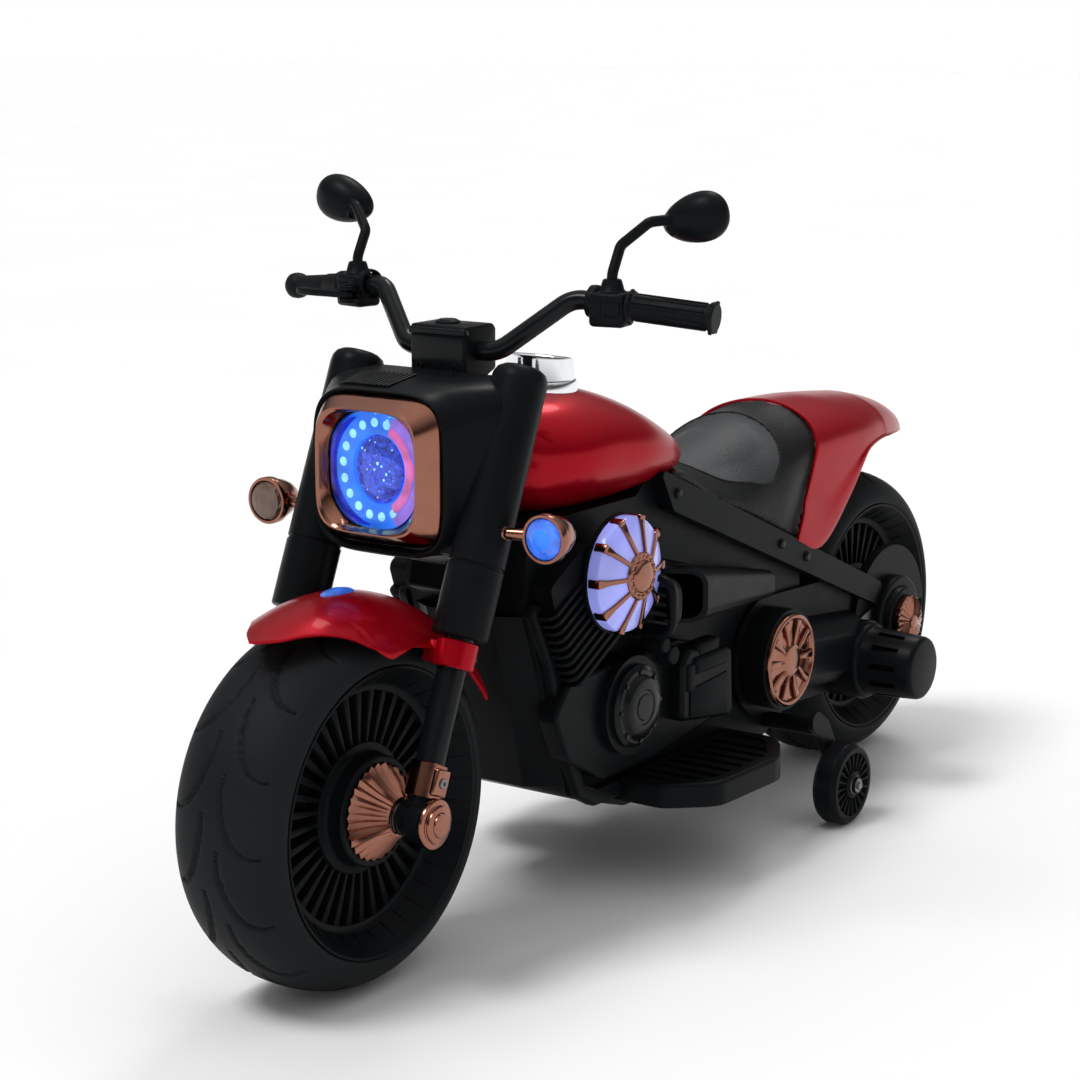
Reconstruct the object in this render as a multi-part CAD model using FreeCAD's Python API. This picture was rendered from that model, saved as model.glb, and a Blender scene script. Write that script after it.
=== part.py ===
import FreeCAD
import Part
import math
import os

# Kids electric motorbike, in millimetres.
# +X is forward, +Y is the rider's left, +Z is up.
# Heights are measured from the axle line; the whole bike is lifted by the wheel radius at the end.

# Wheels
wheel_base = 822.0
wheel_radius = 150.0
tyre_half = 53.0
tyre_lip_depth = 30.0
tread_half = 30.0
tread_drop = 5.0
bead_half = 43.0
bead_depth = 37.0
tyre_wall = 5.0
shoulder_rise = 14.0
shoulder_inset = 6.5
dish_half = 28.0
dish_wall = 3.0
dish_depth = 50.0
hub_radius = 45.0
hub_half = 44.0
hub_core_radius = 18.0
slot_count = 36
slot_inner = 54.0
slot_length = 40.0
slot_width = 4.4
axle_radius = 6.0
cone_radius = 40.0
cone_tip_radius = 16.0
cone_length = 24.0
cone_flutes = 30
flute_depth = 2.6

# Fork and steering
rake = 23.0
steer_offset = 32.0
fork_spread = 83.0
lower_tube_radius = 12.0
upper_tube_radius = 23.0
upper_tube_start = 148.0
upper_tube_end = 370.0
tube_insert = 22.0
fork_boss_radius = 17.0
fork_boss_half = 12.0
clamp_start = 18.0
clamp_length = 28.0
clamp_wall = 2.6
cap_radius = 20.0
cap_height = 11.0
yoke_thickness = 12.0
lower_yoke_start = 210.0
upper_yoke_start = 340.0
yoke_boss_radius = 24.0
yoke_front = 12.0
stem_radius = 10.0
bush_wall = 3.0
head_tube_wall = 7.0
bush_flange = 2.0

# Headlight
lamp_half_width = 68.0
lamp_waist = 59.5
lamp_height = 133.0
lamp_bottom_rise = 191.0
hood_rise = 10.0
lamp_depth = 80.0
lamp_setback = 44.0
lamp_wall = 3.0
lamp_corner = 26.0
bezel_half_width = 62.0
bezel_half_height = 58.5
bezel_lift = 3.5
bezel_band = 11.0
bezel_depth = 22.0
led_ring_radius = 46.0
led_ring_width = 9.0

# Handlebar and controls
bar_radius = 8.0
bar_setback = 161.0
bar_rise = 348.0
bar_clamp_half = 46.0
bar_bend_setback = 195.0
bar_bend_half = 97.0
bar_bend_rise = 392.0
bar_end_setback = 217.0
bar_end_half = 216.0
bar_end_rise = 382.0
bar_bend_radius = 20.0
cover_half = 28.0
cover_front_setback = 141.0
cover_depth = 44.0
cover_top_rise = 369.0
plate_hole_radius = 1.6
plate_hole_spacing = 36.0
box_half = 16.0
box_half_height = 14.0
box_drop = 4.0
box_half_depth = 13.0
box_share = 0.153
grip_radius = 10.5
twist_radius = 8.3
flange_radius = 13.5
flange_width = 4.0
lever_reach = 58.0
lever_width = 9.0
lever_thickness = 6.0
button_radius = 5.0
button_travel = 2.0
button_proud = 4.0
button_depth = 1.5
button_stop = 0.3
rocker_half = 7.0
rocker_half_height = 5.0
rocker_pin_radius = 1.2
rocker_pin_proud = 1.5

# Mirrors and turn signals
boot_height = 10.0
boot_radius = 9.0
stalk_depth = 1.5
stalk_radius = 4.5
stalk_rise = 26.0
stalk_back = 12.0
stalk_out = 20.0
mirror_back = 46.0
mirror_out = 50.0
mirror_rise = 58.0
mirror_half_width = 30.0
mirror_half_height = 20.0
mirror_depth = 18.0
mirror_glass = 2.0
mirror_frame = 4.0
mirror_rim = 4.0
mirror_tilt = 14.0
signal_rise = 216.0
signal_stem_radius = 5.0
signal_stem_length = 21.0
signal_radius = 20.0
signal_length = 36.0
signal_lens_radius = 16.5
signal_setback = 14.0

# Front fender
fender_wall = 3.0
front_fender_radius = 171.0
front_fender_half = 66.0
front_fender_drop = 36.0
front_fender_nose = 58.0
front_fender_tail = 150.0
front_fender_flare = 7.0
collar_start = 122.0
collar_height = 22.0
collar_wall = 5.0
fender_lamp_length = 40.0
fender_lamp_half = 9.0
fender_lamp_height = 11.0

# Body
body_half = 62.0
body_wall = 3.0
belly_drop = 78.0
prow_top_setback = 175.0
prow_top_rise = 142.0
prow_toe_setback = 239.0
prow_toe_drop = 46.0
deck_rise = 202.0
rail_front_x = 40.0
rail_front_rise = 222.0
rail_rear_rise = 108.0
rail_half = 78.0
rail_depth = 26.0
cradle_half_width = 8.0
cradle_proud = 10.0
neck_half = 28.0
shroud_nose_half = 34.0
shroud_nose = 14.0
shroud_toe = 21.0

# Tank, seat and rear fender
tank_half = 83.0
tank_wall = 3.0
tank_cap_radius = 23.0
tank_cap_height = 30.0
seat_half = 76.0
seat_skirt = 20.0
rear_fender_half = 72.0

# Engine side
fin_count = 10
fin_pitch = 8.4
fin_thickness = 3.4
fin_length = 88.0
fin_proud = 26.0
cylinder_lean = 28.0
crank_x = 106.0
crank_rise = 25.0
crank_proud = 18.0
crank_ring_radius = 44.0
crank_ring_proud = 8.0
crank_cover_radius = 37.0
crank_cover_proud = 12.0
side_box_proud = 33.0
filter_x = 134.0
filter_rise = 149.0
filter_radius = 51.0
filter_drum = 12.0
filter_dome = 12.0
filter_hub_radius = 20.0
filter_spokes = 10
spoke_width = 4.0
spoke_proud = 2.5
scoop_front_x = 92.0
scoop_length = 236.0
scoop_wall = 4.0
scoop_pocket = 55.0

# Rear drive
drive_thickness = 16.0
plate_thickness = 5.0
plate_radius = 58.0
hump_radius = 77.0
hump_proud = 10.0
axle_ring_radius = 46.0
drive_front_forward = 251.0
drive_front_rise = 11.0
drive_boss_radius = 49.0
drive_boss_proud = 32.0
drive_tube_radius = 36.0
disc_radius = 45.0
disc_thickness = 5.0
pod_forward = 89.0
pod_drop = 23.0
pod_base_radius = 40.0
pod_radius = 34.0
pod_tip_radius = 30.0
pod_length = 64.0
pod_slots = 16
motor_radius = 18.0
motor_length = 50.0
gearbox_radius = 30.0
gearbox_depth = 13.0

# Footboards, training wheels and what is inside
board_half_length = 96.0
board_reach = 92.0
board_top_drop = 46.0
board_thickness = 22.0
board_rib_count = 8
training_radius = 40.0
training_width = 25.0
training_x = -186.0
training_inner = 128.0
training_slots = 20
arm_thickness = 6.0
arm_half_width = 10.0
battery_length = 100.0
battery_width = 90.0
battery_height = 95.0
control_height = 30.0

# Clearances
run_gap = 0.05
fit_gap = 0.05
free_gap = 0.4
turn_room = 8.0

front_x = wheel_base / 2
rear_x = -wheel_base / 2
lip_radius = wheel_radius - tyre_lip_depth
bead_radius = wheel_radius - bead_depth
dish_radius = wheel_radius - dish_depth
head_inner = stem_radius + bush_wall
head_outer = head_inner + head_tube_wall
lower_yoke_top = lower_yoke_start + yoke_thickness
upper_yoke_top = upper_yoke_start + yoke_thickness
boss_outer = fork_spread + fork_boss_half + 3
rail_rear_x = rear_x + 180.0
rail_slope = (rail_front_rise - rail_rear_rise) / (rail_front_x - rail_rear_x)
drive_face = body_half + drive_thickness
boss_face = body_half + drive_boss_proud
fin_face = body_half + fin_proud


def vec(x, y, z):
    return FreeCAD.Vector(x, y, z)


def rounded_wire(corners, place):
    """Closed wire through corners (u, v, radius); each radius becomes a tangent arc."""
    starts = []
    count = len(corners)
    for i in range(count):
        u, v, radius = corners[i]
        here = place(u, v)
        to_last = place(*corners[i - 1][:2]) - here
        to_next = place(*corners[(i + 1) % count][:2]) - here
        room = 0.49 * min(to_last.Length, to_next.Length)
        to_last.normalize()
        to_next.normalize()
        half = to_last.getAngle(to_next) / 2
        if radius <= 0 or abs(half - math.pi / 2) < 1e-6:
            starts.append((here, None, here))
            continue
        run = min(radius / math.tan(half), room)
        bend = run * math.tan(half)
        middle = to_last + to_next
        middle.normalize()
        middle.multiply(bend / math.sin(half) - bend)
        starts.append((here + to_last * run, here + middle, here + to_next * run))
    edges = []
    for i in range(count):
        first, mid, last = starts[i]
        if mid is not None:
            edges.append(Part.Arc(first, mid, last).toShape())
        following = starts[(i + 1) % count][0]
        if (following - last).Length > 1e-6:
            edges.append(Part.makeLine(last, following))
    return Part.Wire(edges)


def prism_x(corners, x0, x1):
    wire = rounded_wire(corners, lambda y, z: vec(x0, y, z))
    return Part.Face(wire).extrude(vec(x1 - x0, 0, 0))


def prism_y(corners, y0, y1):
    wire = rounded_wire(corners, lambda x, z: vec(x, y0, z))
    return Part.Face(wire).extrude(vec(0, y1 - y0, 0))


def prism_z(corners, z0, z1):
    wire = rounded_wire(corners, lambda x, y: vec(x, y, z0))
    return Part.Face(wire).extrude(vec(0, 0, z1 - z0))


def rod(start, end, radius):
    axis = end - start
    return Part.makeCylinder(radius, axis.Length, start, axis)


def rod_y(x, z, y0, y1, radius):
    return rod(vec(x, y0, z), vec(x, y1, z), radius)


def spun_y(corners, x, z):
    """Profile of (y, radius, rounding) turned about a cross axis at x, z."""
    wire = rounded_wire(corners, lambda y, r: vec(x, y, z + r))
    return Part.Face(wire).revolve(vec(x, 0, z), vec(0, 1, 0), 360)


def spun_along(corners, start, axis):
    """Profile of (distance, radius, rounding) turned about an axis through start."""
    turn = FreeCAD.Rotation(vec(0, 0, 1), axis)
    wire = rounded_wire(corners, lambda w, r: vec(r, 0, w))
    solid = Part.Face(wire).revolve(vec(0, 0, 0), vec(0, 0, 1), 360)
    return placed(solid, FreeCAD.Placement(start, turn))


def placed(shape, placement):
    return shape.transformed(placement.toMatrix(), True)


def turned_y(shape, x, z, degrees):
    copy = shape.copy()
    copy.rotate(vec(x, 0, z), vec(0, 1, 0), degrees)
    return copy


def mirrored(shape):
    return shape.mirror(vec(0, 0, 0), vec(0, 1, 0))


def both(shape):
    return Part.makeCompound([shape, mirrored(shape)])


def joined(shapes):
    return shapes[0].multiFuse(shapes[1:]).removeSplitter()


def flat_edges(shape, axis, value):
    """Edges that lie in the plane where the coordinate called axis has this value."""
    low = axis + "Min"
    high = axis + "Max"
    found = []
    for edge in shape.Edges:
        box = edge.BoundBox
        if abs(getattr(box, low) - value) < 0.01 and abs(getattr(box, high) - value) < 0.01:
            found.append(edge)
    return found


def softened(shape, axis, value, radius):
    return shape.makeFillet(radius, flat_edges(shape, axis, value))


def stroke(points, half_width):
    """Corners of a band along points in a side view."""
    left = []
    right = []
    for i in range(len(points)):
        x, z = points[i]
        before = points[max(i - 1, 0)]
        after = points[min(i + 1, len(points) - 1)]
        run = math.hypot(after[0] - before[0], after[1] - before[1])
        across_x = -(after[1] - before[1]) / run
        across_z = (after[0] - before[0]) / run
        left.append((x + across_x * half_width, z + across_z * half_width, half_width))
        right.append((x - across_x * half_width, z - across_z * half_width, half_width))
    return left + right[::-1]


def swept(points, bend, radius):
    """Round bar through points with each corner bent to the bend radius."""
    edges = []
    last = points[0]
    for i in range(1, len(points) - 1):
        here = points[i]
        back = points[i - 1] - here
        ahead = points[i + 1] - here
        back.normalize()
        ahead.normalize()
        half = back.getAngle(ahead) / 2
        run = bend / math.tan(half)
        middle = back + ahead
        middle.normalize()
        middle.multiply(bend / math.sin(half) - bend)
        edges.append(Part.makeLine(last, here + back * run))
        edges.append(Part.Arc(here + back * run, here + middle, here + ahead * run).toShape())
        last = here + ahead * run
    edges.append(Part.makeLine(last, points[-1]))
    path = Part.Wire(edges)
    ring = Part.Wire(Part.makeCircle(radius, points[0], points[1] - points[0]))
    return path.makePipeShell([ring], True, False)


def rail_z(x):
    """Height of the seat rail line at x."""
    return rail_front_rise + (x - rail_front_x) * rail_slope


def below_rail(gap):
    """Big block under the seat rail line, raised by gap."""
    far = 900.0
    corners = [(-far, rail_z(-far) + gap, 0), (far, rail_z(far) + gap, 0), (far, -far, 0), (-far, -far, 0)]
    return prism_y(corners, -far / 2, far / 2)


def below_body():
    """Big block under the seat rail line and the deck in front of it."""
    far = 900.0
    return prism_y([(-far, rail_z(-far), 0), (rail_front_x, rail_front_rise, 4),
                    (rail_front_x + 24, deck_rise, 8), (far, deck_rise, 0), (far, -far, 0), (-far, -far, 0)],
                   -far / 2, far / 2)


fork_place = FreeCAD.Placement(vec(front_x, 0, 0), FreeCAD.Rotation(vec(0, 1, 0), -rake))


def in_fork(shape):
    """Carry a shape from the fork frame (axle at the origin, fork along Z) to the bike."""
    return placed(shape, fork_place)


def fork_point(x, y, w):
    return fork_place.multVec(vec(x, y, w))


# Wheels


def tyre(x):
    def at(y, r):
        return vec(x, y, r)

    shoulder_r = lip_radius + shoulder_rise
    shoulder_y = tyre_half - shoulder_inset
    edge_r = wheel_radius - tread_drop
    crown = Part.Arc(at(-tread_half, edge_r), at(0, wheel_radius), at(tread_half, edge_r)).toShape()
    left = Part.Arc(at(tread_half, edge_r), at(shoulder_y, shoulder_r), at(tyre_half, lip_radius)).toShape()
    right = Part.Arc(at(-tyre_half, lip_radius), at(-shoulder_y, shoulder_r),
                     at(-tread_half, edge_r)).toShape()
    seat = Part.makePolygon([at(tyre_half, lip_radius), at(bead_half, bead_radius),
                             at(-bead_half, bead_radius), at(-tyre_half, lip_radius)])
    wire = Part.Wire([right, crown, left] + seat.Edges)
    hollow = wire.makeOffset2D(-tyre_wall)
    solid = Part.Face(wire).revolve(vec(x, 0, 0), vec(0, 1, 0), 360)
    return solid.cut(Part.Face(hollow).revolve(vec(x, 0, 0), vec(0, 1, 0), 360))


def slot_cutters(x, z, count, inner, length, width, y0, y1):
    """Radial wedge slots around a cross axis."""
    outer = inner + length
    wide = width * 1.35
    corners = [(-width / 2, inner, 1.2), (width / 2, inner, 1.2), (wide / 2, outer, 1.2),
               (-wide / 2, outer, 1.2)]
    first = prism_y([(x + u, z + v, r) for u, v, r in corners], y0, y1)
    return [turned_y(first, x, z, 360.0 * i / count) for i in range(count)]


def rim(x):
    lip = 9.0
    slope = (lip_radius - bead_radius) / (tyre_half - bead_half)
    lip_y = bead_half + lip
    lip_r = bead_radius + lip * slope
    bore = axle_radius + run_gap
    side = [(bead_half, bead_radius, 0), (lip_y, lip_r, 0), (dish_half, dish_radius, 2),
            (dish_half, hub_radius, 1.5), (hub_half, hub_radius, 2), (hub_half, bore, 0)]
    other = [(-y, r, fillet) for y, r, fillet in side[::-1]]
    body = spun_y(side + other, x, 0)
    hollow_half = dish_half - dish_wall
    hollow_outer = bead_radius - dish_wall
    hollow = spun_y([(hollow_half, hollow_outer, 0), (hollow_half, hub_core_radius, 0),
                     (-hollow_half, hub_core_radius, 0), (-hollow_half, hollow_outer, 0)], x, 0)
    slots = slot_cutters(x, 0, slot_count, slot_inner, slot_length, slot_width, -dish_half - 1,
                         dish_half + 1)
    return body.cut(hollow).cut(Part.makeCompound(slots))


def hub_cone(x):
    """Fluted cone that seats on the hub face."""
    def star(radius, y):
        points = []
        for i in range(2 * cone_flutes):
            reach = radius - (i % 2) * flute_depth * radius / cone_radius
            angle = math.pi * i / cone_flutes
            points.append(vec(x + reach * math.cos(angle), y, reach * math.sin(angle)))
        return Part.makePolygon(points + [points[0]])

    cone = Part.makeLoft([star(cone_radius, hub_half), star(cone_tip_radius, hub_half + cone_length)],
                         True, True)
    return cone.cut(rod_y(x, 0, hub_half - 1, hub_half + cone_length + 1, axle_radius + free_gap))


def front_axle():
    collar_inner = hub_half + cone_length + free_gap
    collar = rod_y(front_x, 0, collar_inner, fork_spread - fork_boss_half, axle_radius + 7)
    shaft = rod_y(front_x, 0, -boss_outer, boss_outer, axle_radius)
    return joined([shaft, collar, mirrored(collar)])


def rear_axle():
    collar = rod_y(rear_x, 0, hub_half + free_gap, body_half, axle_radius + 6)
    shaft = rod_y(rear_x, 0, -drive_face, drive_face, axle_radius)
    return joined([shaft, collar, mirrored(collar)])


def training_wheel(x, z):
    outer = training_inner + training_width
    dish = 4.0
    bore = 4.0 + run_gap
    half = [(training_inner, bore, 0), (training_inner, training_radius - 3, 3),
            (training_inner + 5, training_radius, 3)]
    far = [(outer - 5, training_radius, 3), (outer, training_radius - 4, 3), (outer, training_radius - 9, 1)]
    face = [(outer - dish, training_radius - 11, 1), (outer - dish, 15.0, 1), (outer, 13.0, 1),
            (outer, bore, 0)]
    body = spun_y(half + far + face, x, z)
    cuts = slot_cutters(x, z, training_slots, 17.0, 10.0, 2.2, outer - 12, outer + 1)
    return body.cut(Part.makeCompound(cuts))


# Fork and steering


def fork_lower():
    leg = rod(vec(0, fork_spread, 0), vec(0, fork_spread, upper_tube_start + tube_insert), lower_tube_radius)
    boss = rod_y(0, 0, fork_spread - fork_boss_half, boss_outer, fork_boss_radius)
    bore = rod_y(0, 0, 0, boss_outer + 1, axle_radius + fit_gap)
    return in_fork(joined([leg, boss]).cut(bore))


def fork_upper():
    r = upper_tube_radius
    bore = lower_tube_radius + fit_gap
    split = lower_yoke_start - 6
    top = upper_tube_end
    inner_end = upper_tube_start + tube_insert + 3
    profile = [(upper_tube_start, bore, 0), (upper_tube_start, r - 3, 0), (upper_tube_start + 5, r, 2),
               (split, r, 0), (split + 0.6, r - 1, 0), (split + 1.8, r - 1, 0), (split + 2.4, r, 0),
               (top - 12, r, 4), (top - 3, r - 7, 3), (top, r - 12, 1), (top, 0, 0),
               (inner_end, 0, 0), (inner_end, bore, 0)]
    tube = spun_along(profile, vec(0, fork_spread, 0), vec(0, 0, 1))
    return in_fork(tube)


def fork_clamp():
    """Sleeve with its screw ear, and the stepped end cap on the axle boss."""
    inner = lower_tube_radius + fit_gap
    outer = inner + clamp_wall
    end = clamp_start + clamp_length
    sleeve = rod(vec(0, fork_spread, clamp_start), vec(0, fork_spread, end), outer)
    ear = prism_z([(-outer - 9, fork_spread - 5, 3), (0, fork_spread - 5, 0), (0, fork_spread + 5, 0),
                   (-outer - 9, fork_spread + 5, 3)], clamp_start + 4, end - 6)
    bore = rod(vec(0, fork_spread, clamp_start - 1), vec(0, fork_spread, end + 1), inner)
    screw = rod_y(-outer - 4, (clamp_start + end) / 2, fork_spread - 20, fork_spread + 20, 2.2)
    body = joined([sleeve, ear]).cut(bore).cut(screw)
    cap = spun_y([(boss_outer, 0, 0), (boss_outer, cap_radius, 0), (boss_outer + 5, cap_radius, 1.5),
                  (boss_outer + 6, cap_radius - 4, 0), (boss_outer + 9, cap_radius - 5, 1),
                  (boss_outer + 9, cap_radius - 9, 0), (boss_outer + cap_height, cap_radius - 10, 1),
                  (boss_outer + cap_height, 0, 0)], 0, 0)
    return in_fork(Part.makeCompound([body, cap]))


def yoke(start):
    """Plate between both fork tubes with a boss on the steering axis."""
    end = start + yoke_thickness
    back = -steer_offset
    waist = fork_spread - upper_tube_radius
    bar = prism_z([(back, -waist, 0), (yoke_front, -fork_spread, 0), (yoke_front, fork_spread, 0),
                   (back, waist, 0)], start, end)
    boss = rod(vec(-steer_offset, 0, start), vec(-steer_offset, 0, end), yoke_boss_radius)
    plate = joined([bar, boss])
    for side in (-1, 1):
        hole = rod(vec(0, side * fork_spread, start - 1), vec(0, side * fork_spread, end + 1),
                   upper_tube_radius + fit_gap)
        plate = plate.cut(hole)
    return plate


def steering_stem():
    stem = rod(vec(-steer_offset, 0, lower_yoke_start), vec(-steer_offset, 0, upper_yoke_top), stem_radius)
    return in_fork(joined([yoke(lower_yoke_start), stem]))


def upper_yoke():
    hole = rod(vec(-steer_offset, 0, upper_yoke_start - 1), vec(-steer_offset, 0, upper_yoke_top + 1),
               stem_radius + fit_gap)
    return in_fork(yoke(upper_yoke_start).cut(hole))


head_bottom = lower_yoke_top + free_gap + bush_flange
head_top = upper_yoke_start - free_gap - bush_flange


def head_tube():
    profile = [(head_bottom, head_inner + fit_gap, 0), (head_bottom, head_outer, 0),
               (head_top, head_outer, 0),
               (head_top, head_inner + fit_gap, 0)]
    tube = spun_along(profile, vec(-steer_offset, 0, 0), vec(0, 0, 1))
    return in_fork(tube)


def steering_bushes():
    """Flanged sleeves in both ends of the head tube."""
    bore = stem_radius + run_gap
    flange = head_outer - 2
    low = [(head_bottom - bush_flange, bore, 0), (head_bottom - bush_flange, flange, 0),
           (head_bottom, flange, 0),
           (head_bottom, head_inner, 0), (head_bottom + 20, head_inner, 0), (head_bottom + 20, bore, 0)]
    high = [(head_top + bush_flange, bore, 0), (head_top + bush_flange, flange, 0), (head_top, flange, 0),
            (head_top, head_inner, 0), (head_top - 20, head_inner, 0), (head_top - 20, bore, 0)]
    bushes = [spun_along(p, vec(-steer_offset, 0, 0), vec(0, 0, 1)) for p in (low, high)]
    return in_fork(Part.makeCompound(bushes))


# Headlight

lamp_front = front_x - lamp_setback
lamp_mid = lamp_bottom_rise + lamp_height / 2
lamp_axis = lamp_mid + bezel_lift


def bezel_square(inset):
    """Outline of the bezel, or of what sits inside it by the inset."""
    w = bezel_half_width - inset
    h = bezel_half_height - inset
    z = lamp_axis
    corner = lamp_corner - inset / 2
    return [(-w, z - h, corner), (w, z - h, corner), (w, z + h, corner), (-w, z + h, corner)]


def lamp_room():
    """What the housing has to stay clear of: fork tubes, both yokes and the neck that it turns about."""
    reach = fork_spread + upper_tube_radius
    back = steer_offset + yoke_boss_radius
    front = yoke_front + fit_gap
    top = upper_tube_end + 60
    pieces = []
    for side in (-1, 1):
        y = side * fork_spread
        pieces.append(rod(vec(0, y, 100), vec(0, y, top), upper_tube_radius + fit_gap))
    for low, high in ((lower_yoke_start, lower_yoke_top), (upper_yoke_start, top)):
        pieces.append(prism_z([(-back, -reach, 0), (front, -reach, 0), (front, reach, 0), (-back, reach, 0)],
                              low - fit_gap, high + fit_gap))
    pieces.append(rod(vec(-steer_offset, 0, 100), vec(-steer_offset, 0, top), neck_half + turn_room))
    pieces.append(Part.makeBox(200, 400, top, vec(-steer_offset - 200, -200, 0)))
    return [in_fork(piece) for piece in pieces]


def headlight_housing():
    """Bucket behind the bezel that narrows between the fork tubes, with a hood that rises to the back."""
    half_h = lamp_height / 2
    back = lamp_front - lamp_depth
    sections = []
    for x, half, low, high in ((lamp_front - bezel_depth, lamp_half_width, 0.0, 0.0),
                               (lamp_front - bezel_depth - 12, lamp_half_width - 1, 0.0, 0.35),
                               (lamp_front - bezel_depth - 24, lamp_waist, 1.0, 0.6),
                               (back, lamp_waist - 2, 6.0, 1.0)):
        z0 = lamp_mid - half_h + low
        z1 = lamp_mid + half_h + high * hood_rise
        corners = [(-half, z0, lamp_corner), (half, z0, lamp_corner), (half, z1, lamp_corner),
                   (-half, z1, lamp_corner)]
        sections.append(rounded_wire(corners, lambda y, z, x=x: vec(x, y, z)))
    outer = Part.makeLoft(sections, True, True)
    pocket = prism_x(bezel_square(lamp_wall), back + 12, lamp_front)
    return outer.cut(pocket).cut(lamp_room())


def headlight_bezel():
    outer = prism_x(bezel_square(0.0), lamp_front - bezel_depth, lamp_front)
    outer = softened(outer, "X", lamp_front, 3.0)
    inner = prism_x(bezel_square(bezel_band), lamp_front - bezel_depth - 1, lamp_front + 1)
    return outer.cut(inner)


def headlight_lens():
    return prism_x(bezel_square(bezel_band + fit_gap), lamp_front - 5, lamp_front - 2)


reflector_front = lamp_front - bezel_depth
reflector_back = reflector_front - 26.0


def headlight_reflector():
    """Square bowl behind the lens with a domed middle."""
    block = prism_x(bezel_square(lamp_wall + fit_gap), reflector_back, reflector_front)
    bowl = spun_along([(0, 0, 0), (0, 26, 4), (28, led_ring_radius, 0), (28, 0, 0)],
                      vec(reflector_back + 4, 0, lamp_axis), vec(1, 0, 0))
    dome = spun_along([(0, 0, 0), (0, 17, 0), (10, 15, 6), (14, 6, 4), (14, 0, 0)],
                      vec(reflector_back + 2, 0, lamp_axis), vec(1, 0, 0))
    return joined([block.cut(bowl), dome]).cut(lamp_room())


def headlight_led_ring():
    r = led_ring_radius
    return spun_along([(0, r - led_ring_width, 0), (0, r, 0), (3, r, 1), (3, r - led_ring_width, 1)],
                      vec(lamp_front - bezel_depth, 0, lamp_axis), vec(1, 0, 0))


# Handlebar and controls

bar_x = front_x - bar_setback
bar_bend_x = front_x - bar_bend_setback
bar_end_x = front_x - bar_end_setback


def bar_points(side):
    """Clamp edge, bend and end of the bar on one side."""
    return [vec(bar_x, side * bar_clamp_half, bar_rise), vec(bar_bend_x, side * bar_bend_half,
                                                             bar_bend_rise),
            vec(bar_end_x, side * bar_end_half, bar_end_rise)]


def grip_axis(side):
    """Unit vector along the bar's end, pointing outward."""
    points = bar_points(side)
    axis = points[2] - points[1]
    axis.normalize()
    return axis


def bar_at(side, along):
    """Point on the bar's straight end, along its axis from the bend corner."""
    return bar_points(side)[1] + grip_axis(side) * along


end_length = (bar_points(1)[2] - bar_points(1)[1]).Length
box_along = box_share * end_length
box_end = box_along + 2 * box_half
grip_start = box_end + flange_width + free_gap


def handlebar():
    right = bar_points(-1)
    left = bar_points(1)
    return swept(right[::-1] + left, bar_bend_radius, bar_radius)


def bar_cover():
    """Box over the bar clamp with its front plate, seated on the upper yoke."""
    front = front_x - cover_front_setback
    back = front - cover_depth
    body = prism_z([(back, -cover_half + 3, 8), (front, -cover_half, 3), (front, cover_half, 3),
                    (back, cover_half - 3, 8)], bar_rise - 60, cover_top_rise)
    body = softened(body, "Z", cover_top_rise, 3.0)
    floor = Part.makeBox(400, 400, 400, vec(-200, -200, upper_yoke_top - 400))
    body = body.cut(in_fork(floor))
    bore = rod(vec(bar_x, -60, bar_rise), vec(bar_x, 60, bar_rise), bar_radius + fit_gap)
    body = body.cut(bore)
    for side in (-1, 1):
        y = side * plate_hole_spacing / 2
        body = body.cut(rod(vec(front - 12, y, plate_hole_z), vec(front + 1, y, plate_hole_z),
                            plate_hole_radius))
    return body.cut(button_well(dash_x, button_y, dash_z)).cut(rocker_well())


plate_hole_z = bar_rise - 13.0
dash_z = bar_rise + 9.0
dash_x = front_x - cover_front_setback - cover_depth
button_y = -11.0
rocker_y = 11.0


def rocker_well():
    gap = free_gap + 1.2
    deep = 10.0
    well = Part.makeBox(deep + 1, 2 * (rocker_half + free_gap), 2 * (rocker_half_height + gap),
                        vec(dash_x - 1, rocker_y - rocker_half - free_gap,
                            dash_z - rocker_half_height - gap))
    return joined([well, rocker_pin(rocker_pin_radius + run_gap, rocker_pin_proud + free_gap)])


def rocker_pin(radius, proud):
    reach = rocker_half + proud
    return rod_y(dash_x + 2, dash_z, rocker_y - reach, rocker_y + reach, radius)


def push_button(x, y, z):
    """Round button that faces the rider and is pressed forward."""
    end = button_proud + button_depth
    return spun_along([(0, 0, 0), (0, button_radius - 1, 1), (button_proud, button_radius, 0),
                       (end, button_radius, 0), (end, 0, 0)], vec(x - button_proud, y, z), vec(1, 0, 0))


def button_well(x, y, z):
    """Room for a push button and its travel, in a face at x."""
    deep = button_depth + button_travel + button_stop
    return rod(vec(x - 1, y, z), vec(x + deep, y, z), button_radius + free_gap)


def power_button():
    return push_button(dash_x, button_y, dash_z)


def direction_switch():
    """Rocker with a raised lip at both ends, on a cross pivot."""
    h = rocker_half_height
    corners = [(dash_x + 6, dash_z - h + 1, 2), (dash_x - 3, dash_z - h, 1), (dash_x - 1, dash_z, 3),
               (dash_x - 3, dash_z + h, 1), (dash_x + 6, dash_z + h - 1, 2)]
    rocker = prism_y(corners, rocker_y - rocker_half, rocker_y + rocker_half)
    return joined([rocker, rocker_pin(rocker_pin_radius, rocker_pin_proud)])


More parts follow.
